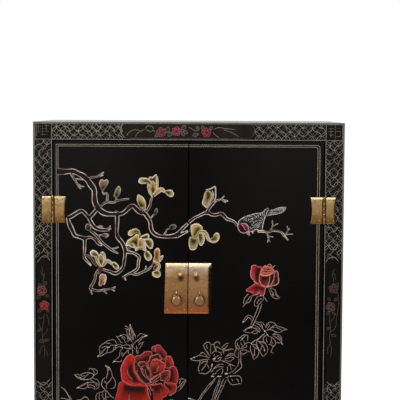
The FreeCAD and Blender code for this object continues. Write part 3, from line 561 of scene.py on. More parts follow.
def woodFinish(name, look):  # bare wood, grain along Z
    finish, tree, shader = newFinish(name)
    grain = noiseOf(tree, 38, 7, 0.62, (1, 1, 0.06))
    fibre = noiseOf(tree, 420, 3, 0.5, (1, 1, 0.03))
    base = ramp(tree, grain, [(0.32, look["deep"]), (0.68, look["light"])])
    base = mixColour(tree, greys(tree, fibre, (0.5, 0), (0.75, 0.5)), base, look["deep"])
    stain = greys(tree, noiseOf(tree, 4, 4), (0.35, 0), (0.8, 0.4))
    base = mixColour(tree, stain, base, look["deep"])
    wire(tree, shader, base, greys(tree, grain, (0.3, 0.6), (0.7, 0.75)), bumpOf(tree, fibre, 0.3, 0.0006))
    shader.inputs["Specular IOR Level"].default_value = look["shine"]
    return finish


rawWood = woodFinish("rawWood", woodLook)
steelLook = {"dark": ink(70, 68, 66), "light": ink(128, 126, 122), "rough": (0.3, 0.55)}


def steelFinish(name, look):
    finish, tree, shader = newFinish(name)
    base = ramp(tree, noiseOf(tree, 300, 5), [(0.35, look["dark"]), (0.65, look["light"])])
    shader.inputs["Metallic"].default_value = 1.0
    rough = greys(tree, noiseOf(tree, 900, 3), (0.3, look["rough"][0]), (0.7, look["rough"][1]))
    wire(tree, shader, base, rough, bumpOf(tree, noiseOf(tree, 800, 3), 0.15, 0.0003))
    return finish


steel = steelFinish("screwSteel", steelLook)
print("finishes made")

# The face frame: a net of crossing curves, gilt lines, corner frets and flower reserves
inks = {
    "dimSilver": ink(132, 124, 118), "gilt": ink(140, 132, 120), "net": ink(190, 180, 164),
    "edge": ink(112, 110, 104), "leafGrey": ink(150, 142, 134), "olive": ink(110, 100, 62),
    "mauve": ink(130, 100, 104), "dark": ink(26, 22, 19), "brown": ink(96, 78, 70),
}
netLook = {
    "lineMm": 0.9, "sag": 0.2, "cells": 4, "rowMm": 11.0, "columnMm": 10.7, "jitterMm": 0.6, "lift": 0.00018,
    "edgeIn": 0.0035, "gap": 0.0012, "endGap": 0.0015, "stileDim": 0.22, "railDim": 0.06,
}
caseLow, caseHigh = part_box("left_stile")[0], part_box("right_stile")[1]
railLow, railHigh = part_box("bottom_rail")[1].z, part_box("top_rail")[0].z
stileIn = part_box("left_stile")[1].x

topReserve = onFace([(120.6, 130.5), (256.0, 130.5)])
leftReserve = onFace([(43.6, 254.8), (43.6, 384.4)])
reserves = {
    "rail": (topReserve[0][0], topReserve[1][0]),
    "stile": (leftReserve[1][1], leftReserve[0][1]),
    "railBow": 0.008,
    "stileBow": 0.017,
    "halfWidth": 0.022,
}


def inReserve(x, z):  # the ends of each reserve bow outwards
    if z > railHigh or z < railLow:
        middle = (railHigh + caseHigh.z) / 2 if z > railHigh else (railLow + caseLow.z) / 2
        bow = reserves["railBow"] * ((z - middle) / reserves["halfWidth"]) ** 2
        return reserves["rail"][0] + bow < x < reserves["rail"][1] - bow
    middle = (abs(stileIn) + caseHigh.x) / 2
    bow = reserves["stileBow"] * ((abs(x) - middle) / reserves["halfWidth"]) ** 2
    return reserves["stile"][0] + bow < z < reserves["stile"][1] - bow


def addArc(art, start, end, sag, width, colour):
    dx, dz = end[0] - start[0], end[1] - start[1]
    path = [(start[0] + dx * t - dz * sag * 4 * t * (1 - t), start[1] + dz * t + dx * sag * 4 * t * (1 - t))
            for t in (0, 0.25, 0.5, 0.75, 1)]
    half = width / 2
    rows = [[(-half, foot, colour), (0, netLook["lift"], colour), (half, foot, colour)] for _ in path]
    layStrip(art, path, rows)


def addNet(art, x0, z0, x1, z1, columns, rows, dim):
    width = netLook["lineMm"] / 1000
    stepX, stepZ = (x1 - x0) / columns, (z1 - z0) / rows
    stray = netLook["jitterMm"] / 1000

    def knot(i, j):
        sway = noise.noise_vector(Vector((i * 0.37 + x0 * 9, j * 0.37 + z0 * 9, 2.3))) * 2 * stray
        inside = 0 < i < columns
        return (x0 + i * stepX + (sway.x if inside else 0), z0 + j * stepZ + sway.y)

    for i in range(columns + 1):
        for j in range(rows):
            if (i + j) % 2:
                continue
            for side in (-1, 1):
                if not 0 <= i + side <= columns:
                    continue
                start, end = knot(i, j), knot(i + side, j + 1)
                middle = ((start[0] + end[0]) / 2, (start[1] + end[1]) / 2)
                if inReserve(*middle):
                    continue
                for bend in (-1, 1):
                    jitter = 1 + 0.25 * dice.uniform(-1, 1)
                    tone = swayAt(middle, 14, 3)
                    tint = mixInk(inks["net"], inks["olive" if tone > 0 else "mauve"], min(0.5, abs(tone)))
                    tint = mixInk(tint, inks["dark"], min(1, dim + dice.uniform(0, 0.75)))
                    sag = bend * netLook["sag"] * jitter
                    addArc(art, start, end, sag, width * dice.uniform(0.75, 1.1), tint)


net = newOrnament()
inset, gap, endGap = netLook["edgeIn"] + netLook["gap"], netLook["gap"], netLook["endGap"]
stileRows = int(round((railHigh - railLow) / (netLook["rowMm"] / 1000) / 2)) * 2
for side in (-1, 1):
    inner, outer = sorted((side * (abs(stileIn) + gap), side * (caseHigh.x - inset)))
    addNet(net, inner, railLow, outer, railHigh, netLook["cells"], stileRows, netLook["stileDim"])
railColumns = int(round(2 * abs(stileIn) / (netLook["columnMm"] / 1000) / 2)) * 2
for zLow, zHigh in ((railHigh + gap, caseHigh.z - endGap), (caseLow.z + endGap, railLow - gap)):
    addNet(net, stileIn, zLow, -stileIn, zHigh, railColumns, netLook["cells"], netLook["railDim"])
finishOrnament(net, "frame_net", "case", paint)

# Thin lines in the corner squares
corners = strokesOf("""
    36.6,124.2 36.6,136 | 38.4,124 38.4,133 | 42.4,123.6 42.4,136 | 46.2,124 46.2,131 | 40,128.6 47.4,128.6
    | 39,131.3 49,131.3 | 40.6,134.4 47,134.4 | 44.4,125.8 49,125.8 | 36.6,126.2 41,126.2 | 335.3,123.8
    335.3,139 | 340.6,131 340.6,136.6 | 331,127 331,138 | 328.6,128.5 334.6,128.5 | 328.6,131.5 334,131.5 |
    336,128.3 341,128.3 | 336,131.4 340.6,131.4 | 329,135 334,135 | 336.4,136.6 340.6,136.6
""")
cornerLook = {"lineMm": 1.0, "strong": ink(128, 120, 108), "faint": ink(84, 78, 68)}


def addCorners(art):
    width = cornerLook["lineMm"] / 1000
    for stroke in corners:
        tint = mixInk(cornerLook["faint"], cornerLook["strong"], dice.random())
        addStroke(art, onFace(stroke), width, tint, taper=(0.8, 0.8), other=cornerLook["faint"])


lineLook = {
    "edgeIn": 0.0026, "edgeWidth": 0.0032, "innerOut": 0.0016, "innerWidth": 0.0015,
    "squareIn": 0.0055, "squareEnd": 0.004, "squareWidth": 0.0013,
}
lines = newOrnament()
edgeIn, innerOut = lineLook["edgeIn"], lineLook["innerOut"]
addRect(lines, -caseHigh.x + edgeIn, caseLow.z + edgeIn, caseHigh.x - edgeIn, caseHigh.z - edgeIn,
        lineLook["edgeWidth"], inks["edge"])
addRect(lines, stileIn - innerOut, railLow - innerOut, -stileIn + innerOut, railHigh + innerOut,
        lineLook["innerWidth"], inks["gilt"])
for side in (-1, 1):  # corner squares
    for zLow, zHigh in ((railHigh + innerOut, caseHigh.z - lineLook["squareEnd"]),
                        (caseLow.z + lineLook["squareEnd"], railLow - innerOut)):
        x0, x1 = sorted((side * (abs(stileIn) + innerOut), side * (caseHigh.x - lineLook["squareIn"])))
        addRect(lines, x0, zLow, x1, zHigh, lineLook["squareWidth"], inks["gilt"])
addCorners(lines)
finishOrnament(lines, "frame_lines", "case", paint)
railShift = (0.0, (railLow + caseLow.z) / 2 - (railHigh + caseHigh.z) / 2)
lowLines = newOrnament(shift=railShift)
addCorners(lowLines)
finishOrnament(lowLines, "frame_low_lines", "case", paint)

roseLook = {
    "lift": 0.0003, "petalLift": 0.0001, "petalRise": 0.00004, "arcLift": 0.00045, "arcRise": 0.0001,
    "arcPixels": 0.4, "rings": ((0.58, 0.44, 5), (0.26, 0.3, 4)),  # how far out, how large, how many petals
}


def addRose(art, middle, size, dark, light, rim):  # a small flower: a dark patch with thin petal arcs
    spin = dice.uniform(0, 6)
    lift = roseLook["lift"]
    outline = []
    for s in range(14):
        bend = 2 * math.pi * s / 14
        reach = size * (0.9 + 0.14 * math.sin(bend * 5 + spin))
        outline.append((middle[0] + math.cos(bend) * reach, middle[1] + math.sin(bend) * reach))
    colours = (mixInk(light, dark, 0.3), mixInk(dark, light, 0.35), dark)
    addPatch(art, outline, [middle], colours, lift, rim=0.4, deep=0.4)
    for ring, (far, large, count) in enumerate(roseLook["rings"]):
        for k in range(count):
            angle = 2 * math.pi * k / count + spin + ring
            px = middle[0] + math.cos(angle) * size * far
            py = middle[1] + math.sin(angle) * size * far
            petal = []
            for s in range(9):
                bend = angle + 2 * math.pi * (s - 4) / 9
                petal.append((px + math.cos(bend) * size * large, py + math.sin(bend) * size * large))
            heart = (px - math.cos(angle) * size * large * 0.5, py - math.sin(angle) * size * large * 0.5)
            colours = (light, mixInk(dark, light, 0.55), dark)
            petalLift = lift + roseLook["petalLift"] + roseLook["petalRise"] * (k + ring * 5)
            addPatch(art, petal, [heart], colours, petalLift, rim=0.3, deep=0.5)
            arcLift = lift + roseLook["arcLift"] + roseLook["arcRise"] * ring
            addStrokes(art, [petal[1:8]], roseLook["arcPixels"], rim, mixInk(rim, dark, 0.6), arcLift)


def addLeaf(art, tip, root, bulge, width, colour):  # an almond leaf with a vein
    tx, ty = tip[0] - root[0], tip[1] - root[1]
    sides = []
    for side in (-1, 1):
        path = []
        for t in (0, 0.2, 0.4, 0.6, 0.8, 1):
            swell = side * bulge * math.sin(math.pi * t)
            path.append((root[0] + tx * t - ty * swell, root[1] + ty * t + tx * swell))
        sides.append(path)
    addStrokes(art, sides, width, colour)
    vein = [(root[0] + tx * t, root[1] + ty * t) for t in (0, 0.5, 0.85)]
    addStrokes(art, [vein], width * 0.7, mixInk(colour, strokeLook["worn"], 0.4))


# A leaf is "tip root bulge"; a rose is its place, its size and its dark, light and rim colours
rail = {
    "leftEnd": strokesOf("124.2,122.8 121.6,126 120.8,130.2 121.8,134.6 125.4,138"),
    "rightEnd": strokesOf("251.6,123.6 253.8,127 254.6,130.8 253.4,134.8 250.6,138"),
    "base": strokesOf("126,138.2 168,138.5 210,138.7 250,138.9"),
    "grass": strokesOf("""
        127,136 128,133.4 130.6,131.2 135.2,129.8 140.5,130.9 | 135.6,137 136.8,134 140,131.6 145.4,129 |
        145.4,129 147,126.4 151,126 153.6,128 152.6,130.2 | 146,129.6 150,131.6 154.2,130.4 155,132.4 |
        188.6,127 192,129 195.6,130.9 199.4,129.6 | 213.6,129.6 218.6,127.6 225,128.6 235.6,129.6 |
        223.6,129.6 230.6,132.2 235,134.4 238.6,136.6 | 213,131.6 214.2,134 217,136.2 219.4,137.6
    """),
    "leaves": strokesOf("""
        154.5,136.6 159,134 0.25 | 168.6,126.6 166.4,133 0.3 | 168.2,136.8 171.6,132 0.3 | 186,125.6
        181.6,129.6 0.3 | 184.6,136 181.6,131.6 0.3 | 196,126.6 199.6,129.4 0.28 | 192.4,135.8 198.6,133.8
        0.25 | 202,125.6 203.6,130.2 0.3 | 212.6,126.4 209.6,130 0.3 | 188,133.6 183,130.8 0.25
    """),
    "roses": [
        ((161.4, 132.2), 4.7, inksOf("66,18,24 118,50,56 162,102,100")),
        ((176.6, 131.2), 4.6, inksOf("80,16,34 138,50,72 180,110,126")),
        ((206.4, 132.6), 4.6, inksOf("64,12,18 128,34,46 166,100,98")),
    ],
}
groundLook = {
    "steps": 56, "edgeLift": 0.00001, "lift": 0.00004, "middleLift": 0.00005, "rail": ink(36, 29, 20),
    "leftStile": ink(12, 4, 0), "rightStile": ink(6, 2, 0), "worn": ink(3, 2, 1),
}


def addGround(art, start, end, half, cap, colour):  # a warm wash inside a reserve, with rounded ends
    steps = groundLook["steps"]
    shares = [0.5 - 0.5 * math.cos(math.pi * k / steps) for k in range(steps + 1)]
    path = onFace([tuple(a + (b - a) * share for a, b in zip(start, end)) for share in shares])
    rows = []
    for share, spot in zip(shares, path):
        toEnd = min(share, 1 - share) * math.dist(start, end)
        wide = max(0.0002, half * dot * math.sqrt(max(0, 1 - max(0, 1 - toEnd / cap) ** 2)))
        sway = swayAt(spot, 40, 5)
        tint = mixInk(colour, groundLook["worn"], min(0.8, max(0, 0.3 + 0.6 * sway)))
        rows.append([(-wide, groundLook["edgeLift"], tint), (-wide * 0.9, groundLook["lift"], tint),
                     (0, groundLook["middleLift"], tint),
                     (wide * 0.9, groundLook["lift"], tint), (wide, groundLook["edgeLift"], tint)])
    layStrip(art, path, rows)


# Ends, half width and cap of the ground, then the widths of the lines, in photo pixels
railLook = {
    "ground": ((121.6, 130.4), (254, 131), 7.4, 5), "leftEnd": 0.75, "rightEnd": 0.6, "base": 0.5,
    "grass": 0.6, "leaf": 0.5, "grassInk": mixInk(inks["dimSilver"], inks["olive"], 0.25),
    "leafInk": mixInk(inks["leafGrey"], inks["olive"], 0.5),
}


def addRailSpray(art):
    addGround(art, *railLook["ground"], groundLook["rail"])
    addStrokes(art, rail["leftEnd"], railLook["leftEnd"], inks["dimSilver"], inks["brown"])
    addStrokes(art, rail["rightEnd"], railLook["rightEnd"], inks["brown"], inks["dark"])
    addStrokes(art, rail["base"], railLook["base"], inks["brown"], inks["dark"])
    addStrokes(art, rail["grass"], railLook["grass"], railLook["grassInk"], inks["brown"])
    for tip, root, (bulge,) in rail["leaves"]:
        addLeaf(art, tip, root, bulge, railLook["leaf"], railLook["leafInk"])
    for spot, size, colours in rail["roses"]:
        addRose(art, spot, size, *colours)


stileSpray = {
    "top": (43.8, 256), "bottom": (43.6, 384), "ground": groundLook["leftStile"],
    "ends": strokesOf("""
        37,262.4 39,259.8 41.3,257.1 45,255.6 47.6,257.1 49.9,260.9 | 36.6,380.6 39.6,383 43.5,385
        46.8,382.4 50.2,379
    """),
    "stems": strokesOf("""
        41.6,266 42.6,271 43.4,277.6 42.8,284 | 40.4,270.6 41.8,274 43.2,276.4 | 44.6,272.6 44.2,276
        43.4,279.6 | 44.4,313 43.6,321 42,330 43,340 44.8,352 43.6,358 | 42,330 39.6,326 38.6,322 | 42.6,336
        46.4,332 47.8,327.6 | 43.4,345 40.6,349 39.8,355 | 44.4,349 47,352 47.4,357 | 42.6,317 39.6,319
        38.4,316 | 46,314 48.4,319 48.8,325
    """),
    "leaves": strokesOf("""
        38.6,283.4 41,287.4 0.3 | 46.8,281.4 44,285.4 0.3 | 37,299 40.4,295 0.3 | 48.6,297 45.6,294.6 0.3 |
        37.6,311.8 41.8,309.2 0.3 | 49,312 46.6,309 0.3 | 37.4,331 41.6,329 0.25 | 48.8,339.6 44,341 0.25 |
        40,343 42.6,339 0.3
    """),
    "roses": [
        ((42, 290.4), 4.7, inksOf("44,14,12 98,42,38 176,116,112")),
        ((44.4, 305.4), 4.6, inksOf("84,14,14 144,36,38 178,84,80")),
    ],
}
rightSpray = {
    "top": (332.2, 257.4), "bottom": (332.6, 385.4), "ground": groundLook["rightStile"],
    "ends": strokesOf("""
        325.8,262.4 328,259 332.1,257.1 335.5,257.9 338.5,261.6 | 326.6,381.6 329.6,384.4 333.2,386.2
        336.2,384.2 338.8,381.2
    """),
    "stems": strokesOf("""
        335.2,268.4 333.6,271 332.4,275 333.6,279.6 333,284 | 333,272.6 335.4,276 334.8,280 | 331,312.6
        329.4,319 330.6,328 329.6,338 331.4,350 330,358 | 330,322 333.8,318 335.4,313 | 330.4,332 334.4,329
        336.6,324 | 330.4,343 327.8,348 327.6,354 | 337.6,292 338.8,300 338.2,308 336.6,318 336,327
    """),
    "leaves": strokesOf("""
        338.4,283 335.6,287 0.3 | 328,297.4 330,300.6 0.3 | 337.4,298 334.4,301 0.3 | 326.8,315 329,311.4
        0.3 | 335.4,315 332.6,311.8 0.3 | 336.4,336 331,335 0.25 | 326.8,330 330,327 0.25
    """),
    "roses": [
        ((333.6, 288.8), 4.7, inksOf("36,16,20 70,42,46 116,82,86")),
        ((330.7, 307), 4.6, inksOf("30,18,18 70,52,52 120,98,94")),
    ],
}


stileLook = {
    "half": 6.6, "cap": 8, "ends": 0.7, "stem": 0.5, "stemInk": ink(84, 76, 64), "stemDark": ink(50, 44, 36),
    "leaf": 0.45, "leafInk": ink(92, 84, 60),
}


def addStileSpray(art, spray):
    addGround(art, spray["top"], spray["bottom"], stileLook["half"], stileLook["cap"], spray["ground"])
    addStrokes(art, spray["ends"], stileLook["ends"], inks["dimSilver"], inks["brown"])
    addStrokes(art, spray["stems"], stileLook["stem"], stileLook["stemInk"], stileLook["stemDark"])
    for tip, root, (bulge,) in spray["leaves"]:
        addLeaf(art, tip, root, bulge, stileLook["leaf"], stileLook["leafInk"])
    for spot, size, colours in spray["roses"]:
        addRose(art, spot, size, *colours)


sprays = newOrnament()
addRailSpray(sprays)
addStileSpray(sprays, stileSpray)
addStileSpray(sprays, rightSpray)
finishOrnament(sprays, "frame_sprays", "case", paint)
lowSpray = newOrnament(shift=railShift)
addRailSpray(lowSpray)
finishOrnament(lowSpray, "frame_low_spray", "case", paint)
print("face frame painted")

# The doors: gilt lines round three sides, then the flowering branches
doorLines = {
    "left_door": {"sides": (0.0072, 0.0116), "ends": (0.0082, 0.0124), "corner": 0.0008, "widthMm": 1.5},
    "right_door": {"sides": (0.0104, 0.0154), "ends": (0.0082, 0.0124), "corner": 0.006, "widthMm": 1.5},
}
doorLineInks = (ink(150, 142, 130), ink(84, 74, 64))
for name, look in doorLines.items():
    art = newOrnament(flip=name == "right_door")
    low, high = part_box("left_door")
    r = look["corner"]
    for inX, inZ in zip(look["sides"], look["ends"]):
        x, top, bottom = low.x + inX, high.z - inZ, low.z + inZ
        path = [(high.x, top), (x + r, top)]
        path += [(x + r - r * math.sin(a), top - r + r * math.cos(a)) for a in (0.5, 1.0, 1.57)]
        path += [(x + r - r * math.cos(a), bottom + r - r * math.sin(a)) for a in (0, 0.5, 1.0, 1.57)]
        path += [(high.x, bottom)]
        bright, worn = doorLineInks
        addStroke(art, straightPath(path) + [path[-1]], look["widthMm"] / 1000, bright, other=worn, drift=0.3,
                  soft=False)
    finishOrnament(art, name + "_lines", name, paint)

# Two plain gilt lines round each side panel
sideLook = {"inset": 0.016, "gap": 0.0055, "widths": (0.0017, 0.0010), "tint": ink(122, 110, 94)}
for side in ("left", "right"):
    low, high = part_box(side + "_side")
    ends = (low.y, high.y) if side == "right" else (-high.y, -low.y)
    art = newOrnament(side)
    for k, width in enumerate(sideLook["widths"]):
        inset = sideLook["inset"] + sideLook["gap"] * k
        addRect(art, ends[0] + inset, low.z + inset, ends[1] - inset, high.z - inset, width, sideLook["tint"])
    finishOrnament(art, side + "_side_lines", "case", paint)

branchLook = {
    "rim": ink(230, 212, 198), "dimRim": ink(122, 94, 84), "fill": ink(22, 14, 14), "heart": ink(30, 20, 20),
    "rimWidth": 0.74,
}
twigLook = {
    "rim": ink(206, 190, 180), "dimRim": ink(118, 96, 88), "fill": ink(34, 24, 24), "heart": ink(38, 28, 28),
    "rimWidth": 0.62,
}
thinLook = {**twigLook, "rimWidth": 0.42}
dimLook = {
    "rim": ink(150, 122, 114), "dimRim": ink(90, 68, 62), "fill": ink(30, 20, 20), "heart": ink(34, 24, 24),
    "rimWidth": 0.62,
}

# Petal colours: rim, body, heart
petals = {
    "pale": inksOf("238,230,208 200,186,138 92,78,34"),
    "mauve": inksOf("232,210,204 190,164,148 84,62,40"),
    "gold": inksOf("228,206,154 196,166,100 90,62,18"),
    "yellow": inksOf("240,226,194 212,196,122 104,86,30"),
    "olive": inksOf("238,228,200 190,176,124 76,62,22"),
    "cream": inksOf("242,226,196 224,202,156 150,124,76"),
    "peach": inksOf("238,210,184 204,158,106 116,72,28"),
    "white": inksOf("238,226,212 212,198,182 140,122,100"),
    "rust": inksOf("156,104,70 84,40,22 44,16,8"),
    "grey": inksOf("200,184,168 146,128,112 68,56,46"),
    "dim": inksOf("150,138,128 74,64,54 40,32,26"),
}
petalTone = (0.68, 0.62, 0.52)
petalRimTone = (0.92, 0.91, 0.93)
petalLook = {
    "rim": 0.8, "deep": 0.26, "veins": 5, "lift": 0.00036, "rise": 0.000012,
    "bladeLift": 0.00095, "bladeRim": 0.5,
}

